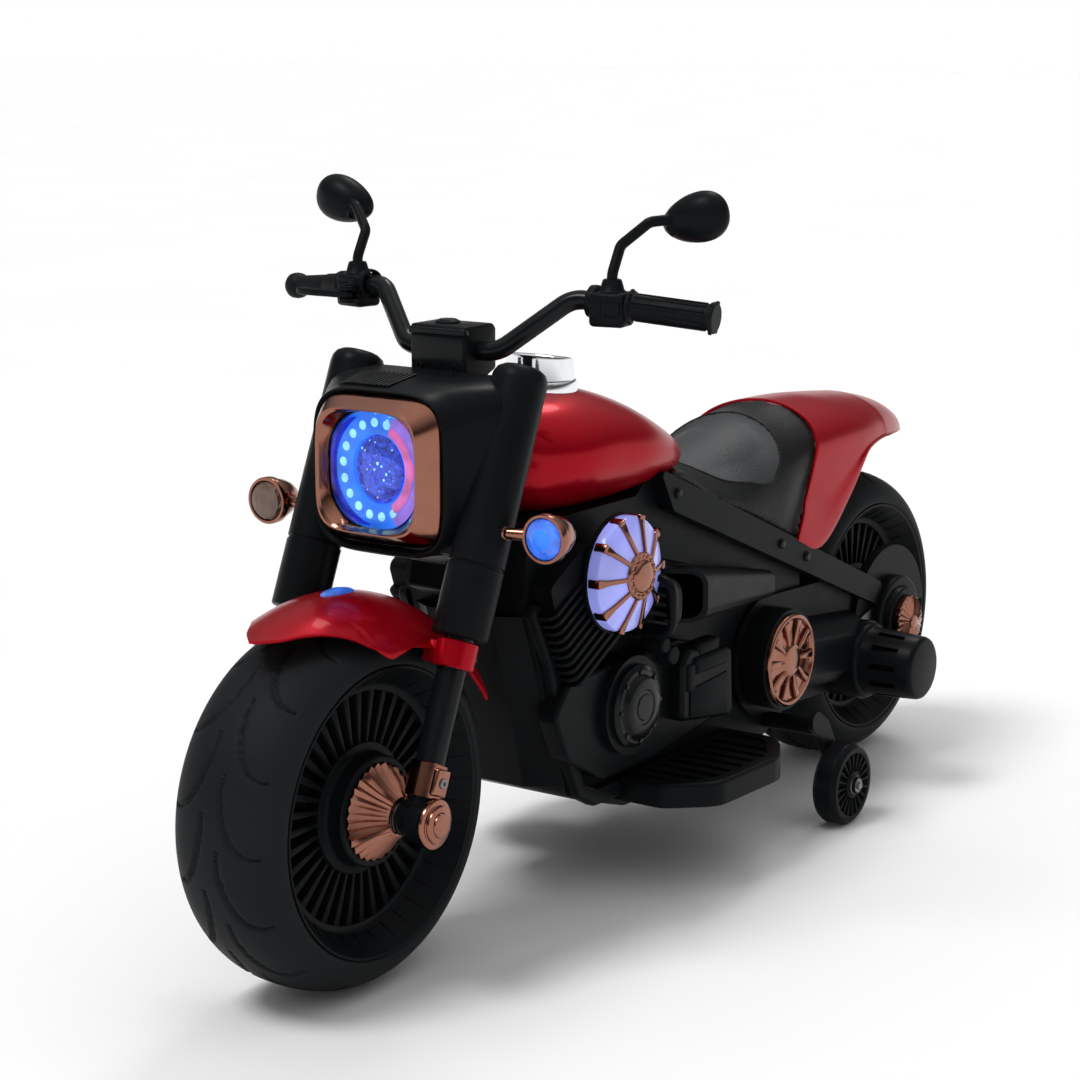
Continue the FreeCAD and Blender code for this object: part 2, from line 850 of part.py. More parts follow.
def switch_box(side):
    """Block on the bar with the mirror boot on top, square to the bar's end."""
    start = bar_at(side, box_along)
    middle = bar_at(side, box_along + box_half)
    low = middle.z - box_drop - box_half_height
    high = middle.z - box_drop + box_half_height
    y0 = start.y
    y1 = y0 + side * 2 * box_half
    corners = [(middle.x - box_half_depth, low, 5), (middle.x + box_half_depth, low, 5),
               (middle.x + box_half_depth, high, 5), (middle.x - box_half_depth, high, 7)]
    beyond = rod(bar_at(side, box_end), bar_at(side, end_length), 4 * box_half)
    block = prism_y(corners, y0, y1).cut(beyond)
    boot = spun_along([(-6, 0, 0), (-6, boot_radius + 1, 0), (0, boot_radius + 1, 1),
                       (boot_height, boot_radius - 2, 1), (boot_height, 0, 0)],
                      vec(middle.x, middle.y, high), vec(0, 0, 1))
    bore = rod(bar_at(side, 0), bar_at(side, end_length), bar_radius + fit_gap)
    socket = rod(vec(middle.x, middle.y, high - stalk_depth - free_gap), vec(middle.x, middle.y, high + 60),
                 stalk_radius + run_gap)
    body = joined([block, boot]).cut(bore).cut(socket)
    if side > 0:
        spot = horn_spot()
        body = body.cut(button_well(spot.x, spot.y, spot.z))
    return body


def horn_spot():
    """Middle of the left box's rear face."""
    middle = bar_at(1, box_along + box_half)
    return vec(middle.x - box_half_depth, middle.y, middle.z - box_drop)


def horn_button():
    spot = horn_spot()
    return push_button(spot.x, spot.y, spot.z)


def left_grip():
    start = bar_at(1, grip_start - flange_width)
    stop = end_length - grip_start + flange_width + 3
    r = grip_radius
    bore = bar_radius + fit_gap
    profile = [(0, bore, 0), (0, flange_radius, 1), (flange_width, flange_radius, 1), (flange_width, r, 1),
               (stop - 4, r, 1), (stop - 4, r + 2.5, 1), (stop, r + 1, 2), (stop, 0, 0),
               (stop - 3 + fit_gap, 0, 0),
               (stop - 3 + fit_gap, bore, 0)]
    grip = spun_along(profile, start, grip_axis(1))
    rib = spun_along([(flange_width, r - 0.5, 0), (flange_width, r + 0.9, 0), (stop - 4, r + 0.9, 0),
                      (stop - 4, r - 0.5, 0)], start, grip_axis(1))
    ribs = []
    for i in range(9):
        blade = Part.makeBox(60, 1.6, 200, vec(0, -0.8, 0))
        blade.rotate(vec(0, 0, 0), vec(0, 0, 1), 40.0 * i)
        ribs.append(placed(blade, FreeCAD.Placement(start, FreeCAD.Rotation(vec(0, 0, 1), grip_axis(1)))))
    return joined([grip] + [rib.common(blade) for blade in ribs])


def throttle_grip():
    """Twist sleeve that turns on the bar's right end."""
    start = bar_at(-1, grip_start - flange_width)
    stop = end_length - grip_start + flange_width + 3
    r = twist_radius + 1
    bore = bar_radius + run_gap
    profile = [(0, bore, 0), (0, r + 3, 1), (flange_width + 3, r + 3, 1), (flange_width + 5, r, 0),
               (22, r, 0),
               (23, r - 0.7, 0), (26, r - 0.7, 0), (27, r, 0), (stop - 14, r, 0), (stop - 12, r + 1.6, 2),
               (stop - 4, r + 1.6, 3), (stop, r - 4, 2), (stop, 0, 0), (stop - 3 + free_gap, 0, 0),
               (stop - 3 + free_gap, bore, 0)]
    return spun_along(profile, start, grip_axis(-1))


def lever_pivot():
    middle = bar_at(-1, box_along + box_half)
    return vec(middle.x + box_half_depth + 9, middle.y + 6, middle.z - 6)


def lever_bracket():
    """Ear on the right switch box that carries the lever's pin."""
    pivot = lever_pivot()
    thick = lever_thickness
    pieces = []
    for base in (pivot.z - thick / 2 - 4 - free_gap, pivot.z + thick / 2 + free_gap):
        corners = [(pivot.x - 10, pivot.y - 7, 0), (pivot.x + 6, pivot.y - 7, 5),
                   (pivot.x + 6, pivot.y + 7, 5),
                   (pivot.x - 10, pivot.y + 7, 0)]
        pieces.append(prism_z(corners, base, base + 4))
    pin = rod(vec(pivot.x, pivot.y, pivot.z - thick), vec(pivot.x, pivot.y, pivot.z + thick), 2.5)
    return pieces + [pin]


def brake_lever():
    """Flat blade in front of the twist grip, on a vertical pin."""
    pivot = lever_pivot()
    half = lever_width / 2
    x = pivot.x
    y = pivot.y
    tip = y - lever_reach
    front = x + half - 1
    back = front - lever_width
    corners = [(x - 5, y + 5, 5), (x + 5, y + 5, 5), (front + 1, y - 30, 20), (front - 4, tip, 4),
               (back - 4, tip, 4), (back + 1, y - 30, 20), (x - 5, y - 8, 6)]
    blade = prism_z(corners, pivot.z - lever_thickness / 2, pivot.z + lever_thickness / 2)
    pin = rod(vec(x, y, pivot.z - 20), vec(x, y, pivot.z + 20), 2.5 + run_gap)
    return blade.cut(pin)


def right_switch_box():
    return joined([switch_box(-1)] + lever_bracket())


# Mirrors and turn signals


def mirror_base(side):
    middle = bar_at(side, box_along + box_half)
    return vec(middle.x, middle.y, middle.z - box_drop + box_half_height)


def mirror_centre(side):
    base = mirror_base(side)
    return vec(base.x - mirror_back, base.y + side * mirror_out, base.z + mirror_rise)


def oval(x, half_width, half_height):
    """Ellipse across the bike at x."""
    turn = FreeCAD.Rotation(vec(0, 1, 0), vec(0, 0, 1), vec(1, 0, 0), "ZXY")
    edge = Part.Ellipse(vec(0, 0, 0), half_width, half_height).toShape()
    return Part.Wire(placed(edge, FreeCAD.Placement(vec(x, 0, 0), turn)))


def mirror_lean(side):
    return FreeCAD.Placement(mirror_centre(side), FreeCAD.Rotation(vec(1, 0, 0), side * mirror_tilt))


def mirror_head(side):
    """Rounded shell, domed to the front and flat to the rider."""
    rings = []
    for share in (-mirror_frame / mirror_depth, 0.0, 0.35, 0.65, 0.85, 0.97):
        width = math.sqrt(1 - share * share)
        rings.append(oval(share * mirror_depth, mirror_half_width * width, mirror_half_height * width))
    return placed(Part.makeLoft(rings, True, False), mirror_lean(side))


def glass_blank(side, gap):
    w = mirror_half_width - mirror_rim - gap
    h = mirror_half_height - mirror_rim - gap
    sheet = Part.Face(oval(-mirror_frame, w, h)).extrude(vec(mirror_glass, 0, 0))
    return placed(sheet, mirror_lean(side))


def mirror(side):
    base = mirror_base(side)
    centre = mirror_centre(side)
    knee = base.z + boot_height + stalk_rise
    points = [vec(base.x, base.y, base.z - stalk_depth), vec(base.x, base.y, base.z + boot_height + 3),
              vec(base.x - stalk_back, base.y, knee), vec(base.x - stalk_back * 2,
                                                          base.y + side * stalk_out, centre.z - 3),
              vec(centre.x + 4, centre.y - side * 8, centre.z)]
    stalk = swept(points, 6.0, stalk_radius)
    return joined([stalk, mirror_head(side)]).cut(glass_blank(side, 0.0))


def mirror_glass_piece(side):
    return glass_blank(side, fit_gap)


def signal_place():
    line = signal_rise / math.cos(math.radians(rake))
    return fork_point(0, fork_spread + upper_tube_radius, line)


def signal_tail():
    """Back end of the bullet's axis."""
    root = signal_place()
    return vec(root.x - signal_setback - signal_length / 2, root.y + signal_stem_length + 15, root.z)


def signal_body():
    """Bullet lamp on a slanted cross stem."""
    root = signal_place()
    tail = signal_tail()
    length = signal_length
    r = signal_radius
    seat = signal_lens_radius
    stem = rod(vec(root.x, root.y - 1, root.z), vec(tail.x + length / 2 - 4, tail.y, tail.z),
               signal_stem_radius)
    flange = rod(vec(root.x, root.y - 2, root.z), vec(root.x, root.y + 3, root.z), signal_stem_radius + 4)
    bullet = spun_along([(0, 0, 0), (0, 7, 3), (8, r - 7, 8), (length - 10, r - 2, 4), (length - 8, r, 1),
                         (length, r, 1), (length, seat, 0), (length - 8, seat, 0), (length - 8, 0, 0)],
                        tail, vec(1, 0, 0))
    tube = rod(fork_point(0, fork_spread, 0), fork_point(0, fork_spread, 400), upper_tube_radius + fit_gap)
    return joined([stem, flange, bullet]).cut(tube)


def signal_lens():
    tail = signal_tail()
    r = signal_lens_radius - fit_gap
    return spun_along([(0, 0, 0), (0, r, 0), (7, r, 1), (10, r - 4, 2), (11, 0, 0)],
                      tail + vec(signal_length - 8, 0, 0), vec(1, 0, 0))


# Front fender


def fender_arc(radius, half, drop):
    """Open edge across the fender, in the plane above the axle."""
    return Part.Arc(vec(front_x, -half, radius - drop), vec(front_x, 0, radius),
                    vec(front_x, half, radius - drop))


def fender_band(angle, lift):
    """Closed section of the fender's skin, turned to an angle above the forward direction."""
    outer = fender_arc(front_fender_radius + lift, front_fender_half, front_fender_drop)
    inner = fender_arc(front_fender_radius + lift - fender_wall, front_fender_half - fender_wall,
                       front_fender_drop)
    ends = [Part.makeLine(outer.StartPoint, inner.StartPoint), Part.makeLine(outer.EndPoint, inner.EndPoint)]
    wire = Part.Wire([outer.toShape(), ends[1], inner.toShape(), ends[0]])
    return turned_y(wire, front_x, 0, 90 - angle)


def front_fender():
    """Skin over the front wheel with a beaked nose, scalloped sides and collars on the fork."""
    span = front_fender_tail - front_fender_nose
    bands = []
    for share, flare in ((0.0, 1.0), (0.06, 0.45), (0.14, 0.1), (0.25, 0.0), (0.5, 0.0), (0.75, 0.0),
                         (1.0, 0.3)):
        bands.append(fender_band(front_fender_nose + share * span, flare * front_fender_flare))
    shell = Part.makeLoft(bands, True, False)
    half = front_fender_half
    plan = prism_z([(front_x + 96, 0, 16), (front_x + 46, half * 0.6, 60), (front_x + 8, half, 40),
                    (front_x - 30, half + 16, 0), (front_x - 200, half + 16, 0),
                    (front_x - 200, -half - 16, 0),
                    (front_x - 30, -half - 16, 0), (front_x + 8, -half, 40),
                    (front_x + 46, -half * 0.6, 60)], 0, 250)
    wide = half + 20
    low = prism_y([(front_x + 200, 0, 0), (front_x + 200, 134, 0), (front_x + 60, 134, 30),
                   (front_x + 30, 124, 30),
                   (front_x - 10, 131, 30), (front_x - 64, 121, 30), (front_x - 92, 92, 20),
                   (front_x - 112, 64, 10),
                   (front_x - 220, 64, 0), (front_x - 220, 0, 0)], -wide, wide)
    shell = shell.common(plan).cut(low)
    return joined([shell, fork_collar(-1), fork_collar(1)])


def fork_collar(side):
    """Ring on the lower fork tube with a web to the fender's side."""
    y = side * fork_spread
    end = collar_start + collar_height
    outer = lower_tube_radius + collar_wall
    ring = rod(vec(0, y, collar_start), vec(0, y, end), outer)
    web_y = side * (front_fender_half - 6)
    web = prism_z([(-9, min(y, web_y), 0), (9, min(y, web_y), 0), (9, max(y, web_y), 0),
                   (-9, max(y, web_y), 0)],
                  collar_start + 2, end - 2)
    bore = rod(vec(0, y, collar_start - 1), vec(0, y, end + 1), lower_tube_radius + fit_gap)
    collar = in_fork(joined([ring, web]).cut(bore))
    return collar.cut(fender_core())


def fender_core():
    """The space under the middle of the fender's skin."""
    skin = fender_wall / 2
    arc = fender_arc(front_fender_radius - skin, front_fender_half - skin, front_fender_drop)
    low = Part.makePolygon([arc.EndPoint, vec(front_x, arc.EndPoint.y, 1), vec(front_x, arc.StartPoint.y, 1),
                            arc.StartPoint])
    face = Part.Face(Part.Wire([arc.toShape()] + low.Edges))
    return face.revolve(vec(front_x, 0, 0), vec(0, 1, 0), 360)


def fender_lamp(fender):
    """Small teardrop lamp on the fender's ridge."""
    ball = Part.makeSphere(1.0)
    scale = FreeCAD.Matrix()
    scale.scale(vec(fender_lamp_length / 2, fender_lamp_half, fender_lamp_height))
    drop = ball.transformGeometry(scale)
    drop.translate(vec(front_x - 8, 0, front_fender_radius - 1))
    inside = rod_y(front_x, 0, -40, 40, front_fender_radius - fender_wall / 2)
    return drop.cut([inside, fender])


# Body


def main_corners():
    toe_x = front_x - prow_toe_setback
    top_x = front_x - prow_top_setback
    return [(top_x, prow_top_rise, 8), (toe_x, -prow_toe_drop, 14), (toe_x - 23, 22 - belly_drop, 14),
            (toe_x - 91, -belly_drop, 30), (rear_x + 261, -belly_drop, 24), (rear_x + 166, -40, 10),
            (rear_x + 172, 30, 20), (rail_rear_x, rail_rear_rise, 0), (rail_front_x, rail_front_rise, 4),
            (rail_front_x + 24, deck_rise, 8), (top_x - 7, deck_rise, 6)]


def shell_prism():
    """One half of the body from the middle plane outward, hollow behind its wall."""
    wire = rounded_wire(main_corners(), lambda x, z: vec(x, 0, z))
    outer = Part.Face(wire).extrude(vec(0, body_half, 0))
    inner_wire = wire.makeOffset2D(-body_wall)
    inner = Part.Face(inner_wire).extrude(vec(0, body_half - body_wall, 0))
    return outer.cut(inner)


def neck():
    """Saddle behind the head tube that joins it to the body."""
    back = -steer_offset
    corners = [(back, head_bottom, 0), (back, head_top, 0), (back - 23, head_top, 6), (-98, 258, 6),
               (-130, 225, 0),
               (-130, 190, 0), (-66, 190, 4), (-62, head_bottom, 2)]
    block = in_fork(prism_y(corners, 0, neck_half))
    tube = rod(fork_point(back, 0, head_bottom - 40), fork_point(back, 0, head_top + 40), head_outer)
    return block.cut(tube)


def cradle():
    """Frame tube moulded on the shell's side, from the neck down to the footboard."""
    points = [(front_x - 180, 136), (front_x - 206, 84), (front_x - 234, -8), (front_x - 249, -42),
              (front_x - 272, -54), (front_x - 312, -55)]
    band = prism_y(stroke(points, cradle_half_width), body_half, body_half + cradle_proud)
    return softened(band, "Y", body_half + cradle_proud, 4.0)


def seat_rail():
    """Beam moulded on the shell's side under the seat's edge."""
    front = rail_front_x + 10
    back = rear_x + 30
    corners = [(front, rail_z(front), 4), (front - 24, rail_z(front - 24) - rail_depth - 6, 10),
               (back, rail_z(back) - rail_depth, 6), (back, rail_z(back), 10)]
    boss = rod_y(rear_x, 0, 0, 200, axle_ring_radius)
    return prism_y(corners, body_half, rail_half).cut(boss)


def body_half_shell():
    shell = joined([shell_prism(), neck()])
    return joined([shell, cradle(), seat_rail()])


def shroud_plane(z):
    """Front edge of the body at height z."""
    lean = (prow_toe_setback - prow_top_setback) / (prow_top_rise + prow_toe_drop)
    return front_x - prow_toe_setback + (z + prow_toe_drop) * lean


def front_shroud():
    """Prow in front of the body, with ribs down its face."""
    def slab(z, nose, half):
        x = shroud_plane(z) + fit_gap
        return Part.makePolygon([vec(x, -half, z), vec(x + nose, -shroud_nose_half, z),
                                 vec(x + nose, shroud_nose_half, z), vec(x, half, z), vec(x, -half, z)])

    top_z = prow_top_rise - 18
    low_z = 10 - prow_toe_drop
    prow = Part.makeLoft([slab(low_z, shroud_toe, body_half - 3), slab(top_z, shroud_nose, body_half - 6)],
                         True, True)
    grooves = []
    for i in range(5):
        y = (i - 2) * shroud_nose_half / 2.8
        grooves.append(Part.makeBox(60, 4, 110, vec(shroud_plane(0) + 4, y - 2, -10)))
    lean = math.degrees(math.atan2(shroud_plane(100) - shroud_plane(0), 100))
    for groove in grooves:
        groove.rotate(vec(shroud_plane(0), 0, 0), vec(0, 1, 0), lean)
        groove.translate(vec(shroud_toe - 5.5, 0, 0))
    return prow.cut(Part.makeCompound(grooves))


# Tank, seat and rear fender

tank_front_x = front_x - 195.0
# Distance behind the tank's front, share of the half width, top and middle height.
tank_sections = ((0.0, 0.42, 282.0, 252.0), (16.0, 0.72, 295.0, 250.0), (56.0, 0.94, 302.0, 249.0),
                 (106.0, 1.0, 302.0, 248.0), (156.0, 1.0, 289.0, 243.0), (206.0, 0.86, 266.0, 233.0),
                 (242.0, 0.62, 247.0, 226.0), (262.0, 0.38, 235.0, 221.0))


def tank_form(grow):
    wires = []
    for back, share, top, middle in tank_sections:
        half = tank_half * share + grow
        high = top - middle + grow
        x = tank_front_x - back + (grow if back == 0 else 0)
        curve = Part.Ellipse(vec(0, 0, 0), max(half, high), min(half, high))
        edge = curve.toShape()
        turn = FreeCAD.Rotation(vec(0, 1, 0), vec(0, 0, 1), vec(1, 0, 0), "ZXY")
        if high > half:
            turn = FreeCAD.Rotation(vec(0, 0, 1), vec(0, -1, 0), vec(1, 0, 0), "ZXY")
        wires.append(Part.Wire(placed(edge, FreeCAD.Placement(vec(x, 0, middle), turn))))
    body = Part.makeLoft(wires, True, False)
    floor = Part.makeBox(800, 400, 200, vec(-400, -200, deck_rise - grow - 200))
    return body.cut(floor)


def tank_cap_seat():
    return vec(tank_front_x - 98, 0, 0)


def fuel_tank():
    """Hollow teardrop on the deck."""
    rail = seat_rail()
    return tank_form(0.0).cut([tank_form(-tank_wall), below_body(), rail, mirrored(rail)])


def tank_cap():
    seat = tank_cap_seat()
    base = tank_sections[3][2] - 6
    r = tank_cap_radius
    top = tank_sections[3][2] + tank_cap_height
    cap = spun_along([(0, 0, 0), (0, r + 2, 0), (10, r + 2, 2), (12, r, 0), (top - base - 4, r - 2, 2),
                      (top - base, r - 8, 2), (top - base, 0, 0)], vec(seat.x, 0, base), vec(0, 0, 1))
    return cap.cut(tank_form(fit_gap))


# Distance of each seat section in front of the rear axle, ridge height, shoulder half width and
# shoulder drop.
seat_sections = ((433.0, 222.0, 66.0, 6.0), (371.0, 215.0, 60.0, 14.0), (321.0, 214.0, 56.0, 22.0),
                 (271.0, 226.0, 60.0, 27.0), (221.0, 236.0, 66.0, 31.0), (150.0, 242.0, 68.0, 35.0))
seat_back_low = (rear_x + 208.0, 112.0)
seat_back_high = (rear_x + 143.0, 245.0)


def behind_seat(gap):
    """Big block behind the plane where the seat meets the rear fender, moved forward by gap."""
    run_x = seat_back_high[0] - seat_back_low[0]
    run_z = seat_back_high[1] - seat_back_low[1]
    far = 3.0
    top = (seat_back_high[0] + run_x * far + gap, seat_back_high[1] + run_z * far)
    low = (seat_back_low[0] - run_x * far + gap, seat_back_low[1] - run_z * far)
    return prism_y([(low[0], low[1], 0), (top[0], top[1], 0), (top[0] - 900, top[1], 0),
                    (low[0] - 900, low[1], 0)],
                   -300, 300)


def seat_section(x, ridge, shoulder, drop):
    low = rail_z(x) - seat_skirt
    side = max(rail_z(x) + 2, ridge - 2.2 * drop)
    points = [vec(x, -seat_half, side), vec(x, -shoulder, ridge - drop),
              vec(x, -shoulder * 0.5, ridge - drop * 0.22),
              vec(x, 0, ridge), vec(x, shoulder * 0.5, ridge - drop * 0.22), vec(x, shoulder, ridge - drop),
              vec(x, seat_half, side)]
    top = Part.BSplineCurve()
    top.interpolate(points)
    base = Part.makePolygon([points[-1], vec(x, seat_half, low), vec(x, -seat_half, low), points[0]])
    return Part.Wire([top.toShape()] + base.Edges)


def seat_pad():
    wires = [seat_section(rear_x + ahead, ridge, shoulder, drop) for ahead, ridge, shoulder,
             drop in seat_sections]
    body = Part.makeLoft(wires, True, False)
    return body.cut(below_rail(0.0)).cut(tank_form(free_gap)).cut(behind_seat(0.0))


# Distance from the rear axle, half width and ridge height of each rear fender section.
fender_sections = ((230.0, 72.0, 240.0), (150.0, 72.0, 242.0), (90.0, 72.0, 241.0), (35.0, 68.0, 236.0),
                   (-5.0, 60.0, 229.0), (-40.0, 47.0, 218.0), (-66.0, 32.0, 207.0), (-82.0, 16.0, 198.0))
fender_arch_share = 0.62


def arch_wire(x, half, ridge, arch):
    """Half ellipse on straight sides."""
    low = 60.0
    spring = ridge - arch
    ellipse = Part.Ellipse(vec(0, 0, 0), half, arch)
    turn = FreeCAD.Rotation(vec(0, 1, 0), vec(0, 0, 1), vec(1, 0, 0), "ZXY")
    edge = placed(Part.ArcOfEllipse(ellipse, 0, math.pi).toShape(),
                  FreeCAD.Placement(vec(x, 0, spring), turn))
    base = Part.makePolygon([vec(x, -half, spring), vec(x, -half, low), vec(x, half, low),
                             vec(x, half, spring)])
    return Part.Wire([edge] + base.Edges)


def fender_form(shrink):
    wires = []
    scale = rear_fender_half / fender_sections[0][1]
    for ahead, half, ridge in fender_sections:
        wide = half * scale - shrink
        end = shrink if ahead == fender_sections[-1][0] else 0.0
        wires.append(arch_wire(rear_x + ahead + end, wide, ridge - shrink, wide * fender_arch_share))
    return Part.makeLoft(wires, True, False)


def rear_fender():
    """High bobber fender that stands on the seat rails."""
    shell = fender_form(0.0).cut(fender_form(fender_wall))
    x = rear_x
    back = rail_rear_x - 32
    keep = prism_y([(x + 260, rail_z(x + 260), 0), (back, rail_z(back), 6), (x + 106, 132, 40),
                    (x + 62, 184, 40),
                    (x + 8, 194, 40), (x - 40, 188, 30), (x - 160, 176, 0), (x - 160, 320, 0),
                    (x + 260, 320, 0)],
                   -100, 100)
    return shell.common(keep).cut(below_rail(0.0)).common(behind_seat(-free_gap))


# Engine side


def fin_stack(x, z, lean, count, length, core_length, start):
    """Comb of fins on a core, stacked along a leaning axis from x, z."""
    pieces = []
    height = count * fin_pitch
    core = prism_y([(x - core_length / 2, z + start, 3), (x + core_length / 2, z + start, 3),
                    (x + core_length / 2, z + start + height, 3),
                    (x - core_length / 2, z + start + height, 3)],
                   body_half, fin_face - 8)
    pieces.append(core)
    for i in range(count):
        low = z + start + (i + 0.5) * fin_pitch - fin_thickness / 2
        fin = prism_z([(x - length / 2, body_half, 0), (x + length / 2, body_half, 0),
                       (x + length / 2, fin_face, 9),
                       (x - length / 2, fin_face, 9)], low, low + fin_thickness)
        pieces.append(fin)
    head_z = z + start + height
    head = prism_y([(x - length * 0.4, head_z - 4, 3), (x + length * 0.4, head_z - 4, 3),
                    (x + length * 0.36, head_z + 20, 8), (x - length * 0.36, head_z + 20, 8)], body_half,
                    fin_face - 3)
    pieces.append(head)
    return turned_y(joined(pieces), x, z, lean)


def engine_block():
    front = fin_stack(crank_x + 24, crank_rise + 6, cylinder_lean, fin_count, fin_length, fin_length - 22,
                      50)
    rear = fin_stack(crank_x - 30, crank_rise + 6, -16.0, fin_count - 2, fin_length - 14, fin_length - 34,
                     56)
    room = prism_y([(rail_front_x - 120, 60, 0), (front_x - 150, 60, 0), (front_x - 150, deck_rise - 2, 0),
                    (rail_front_x - 120, deck_rise - 2, 0)], 0, 200)
    block = joined([front, rear]).common(room)
    block = block.cut(crankcase()).cut(cradle()).cut(seat_rail()).cut(scoop_form())
    return Part.makeCompound([block, filter_drum_piece()])


def crankcase():
    """Primary cover with its round ring and the side box behind."""
    low = crank_rise - 61
    base = prism_y([(216, 37, 14), (192, 64, 14), (20, 66, 10), (-50, 46, 10), (-58, -22, 10), (60, low, 10),
                    (140, low, 20), (196, -6, 20)], body_half, body_half + crank_proud)
    base = softened(base, "Y", body_half + crank_proud, 4.0)
    ring = rod_y(crank_x, crank_rise, body_half, body_half + crank_proud + crank_ring_proud,
                 crank_ring_radius)
    box = prism_y([(36, 46, 8), (24, 60, 8), (-52, 46, 8), (-55, -20, 8), (36, -6, 8)], body_half,
                  body_half + side_box_proud)
    box = softened(box, "Y", body_half + side_box_proud, 5.0)
    return joined([base, ring, box]).cut(cradle())


def crankcase_cover():
    face = body_half + crank_proud + crank_ring_proud
    r = crank_cover_radius
    return spun_y([(face, 0, 0), (face, r, 0), (face + 5, r, 2), (face + 7, r - 5, 0), (face + 7, r - 9, 0),
                   (face + crank_cover_proud, r - 13, 3), (face + crank_cover_proud, 0, 0)], crank_x,
                   crank_rise)


drum_face = fin_face + filter_drum
dome_face = drum_face + filter_dome


def filter_drum_piece():
    r = filter_radius - 1
    return spun_y([(fin_face, 0, 0), (fin_face, r - 6, 0), (fin_face + 4, r, 2), (drum_face, r, 0),
                   (drum_face, 0, 0)],
                  filter_x, filter_rise)


def filter_cone(lift):
    inner = filter_radius - 4
    return spun_y([(drum_face, 0, 0), (drum_face, inner, 0), (drum_face + lift, inner, 0),
                   (dome_face + lift, filter_hub_radius, 0), (dome_face + lift, 0, 0)], filter_x,
                   filter_rise)


def filter_lens():
    inner = filter_radius - 4
    return spun_y([(drum_face, 0, 0), (drum_face, inner, 0), (dome_face, filter_hub_radius, 0),
                   (dome_face, 0, 0)],
                  filter_x, filter_rise)


def filter_grille():
    """Rim, spokes and hub over the lit panels."""
    r = filter_radius
    band = spun_y([(drum_face, r - 4, 0), (drum_face, r, 1), (drum_face + 5, r, 2),
                   (drum_face + 5, r - 4, 1)],
                  filter_x, filter_rise)
    hub = spun_y([(dome_face, 0, 0), (dome_face, filter_hub_radius + 1, 0),
                  (dome_face + 4, filter_hub_radius - 1, 2),
                  (dome_face + 6, filter_hub_radius - 7, 2), (dome_face + 6, 0, 0)], filter_x, filter_rise)
    skin = filter_cone(spoke_proud).cut(filter_lens())
    blades = []
    for i in range(filter_spokes):
        blade = Part.makeBox(spoke_width, 100, filter_radius - 3,
                             vec(filter_x - spoke_width / 2, fin_face, filter_rise))
        blades.append(turned_y(blade, filter_x, filter_rise, 360.0 * i / filter_spokes))
    spokes = [skin.common(blade) for blade in blades]
    return joined([band, hub] + spokes).cut(filter_lens())


def scoop_ring(x, y0, y1, z0, z1, corner):
    corners = [(y0, z0, corner), (y1, z0, corner), (y1, z1, corner), (y0, z1, corner)]
    return rounded_wire(corners, lambda y, z: vec(x, y, z))


def scoop_form():
    """Outside of the duct, with its mouth cut on the slant."""
    face = body_half
    front = scoop_front_x
    outer = Part.makeLoft([scoop_ring(front, face, face + 58, 86, 140, 14),
                           scoop_ring(front - 60, face, face + 54, 88, 136, 14),
                           scoop_ring(front - scoop_length, face, face + 24, 74, 100, 8)], True, True)
    slant = prism_z([(front - 14, face - 1, 0), (front - 80, face + 70, 0), (front + 80, face + 70, 0),
                     (front + 80, face - 1, 0)], 0, 300)
    return outer.cut(slant)


def intake_scoop():
    """Duct along the body with an open mouth."""
    face = body_half
    front = scoop_front_x
    wall = scoop_wall
    deep = front - 60 - scoop_pocket
    inner = Part.makeLoft([scoop_ring(front + 1, face + wall, face + 58 - wall, 86 + wall, 140 - wall, 11),
                           scoop_ring(front - 60, face + wall, face + 54 - wall, 88 + wall, 136 - wall, 11),
                           scoop_ring(deep, face + wall, face + 42 - wall, 86 + wall, 122 - wall, 9)],
                           True, True)
    return scoop_form().cut(inner).cut(seat_rail())


# Rear drive

drive_front_x = rear_x + drive_front_forward
pod_x = rear_x + pod_forward


def stadium(xa, za, ra, xb, zb, rb, y0, y1):
    """Two discs and the band between their outer tangents."""
    run = math.hypot(xb - xa, zb - za)
    tilt = math.atan2(zb - za, xb - xa)
    spread = math.acos((ra - rb) / run)
    corners = []
    for sign in (1, -1):
        angle = tilt + sign * spread
        a = (xa + ra * math.cos(angle), za + ra * math.sin(angle), 0)
        b = (xb + rb * math.cos(angle), zb + rb * math.sin(angle), 0)
        corners += [a, b] if sign > 0 else [b, a]
    band = prism_y(corners, y0, y1)
    return joined([rod_y(xa, za, y0, y1, ra), rod_y(xb, zb, y0, y1, rb), band])


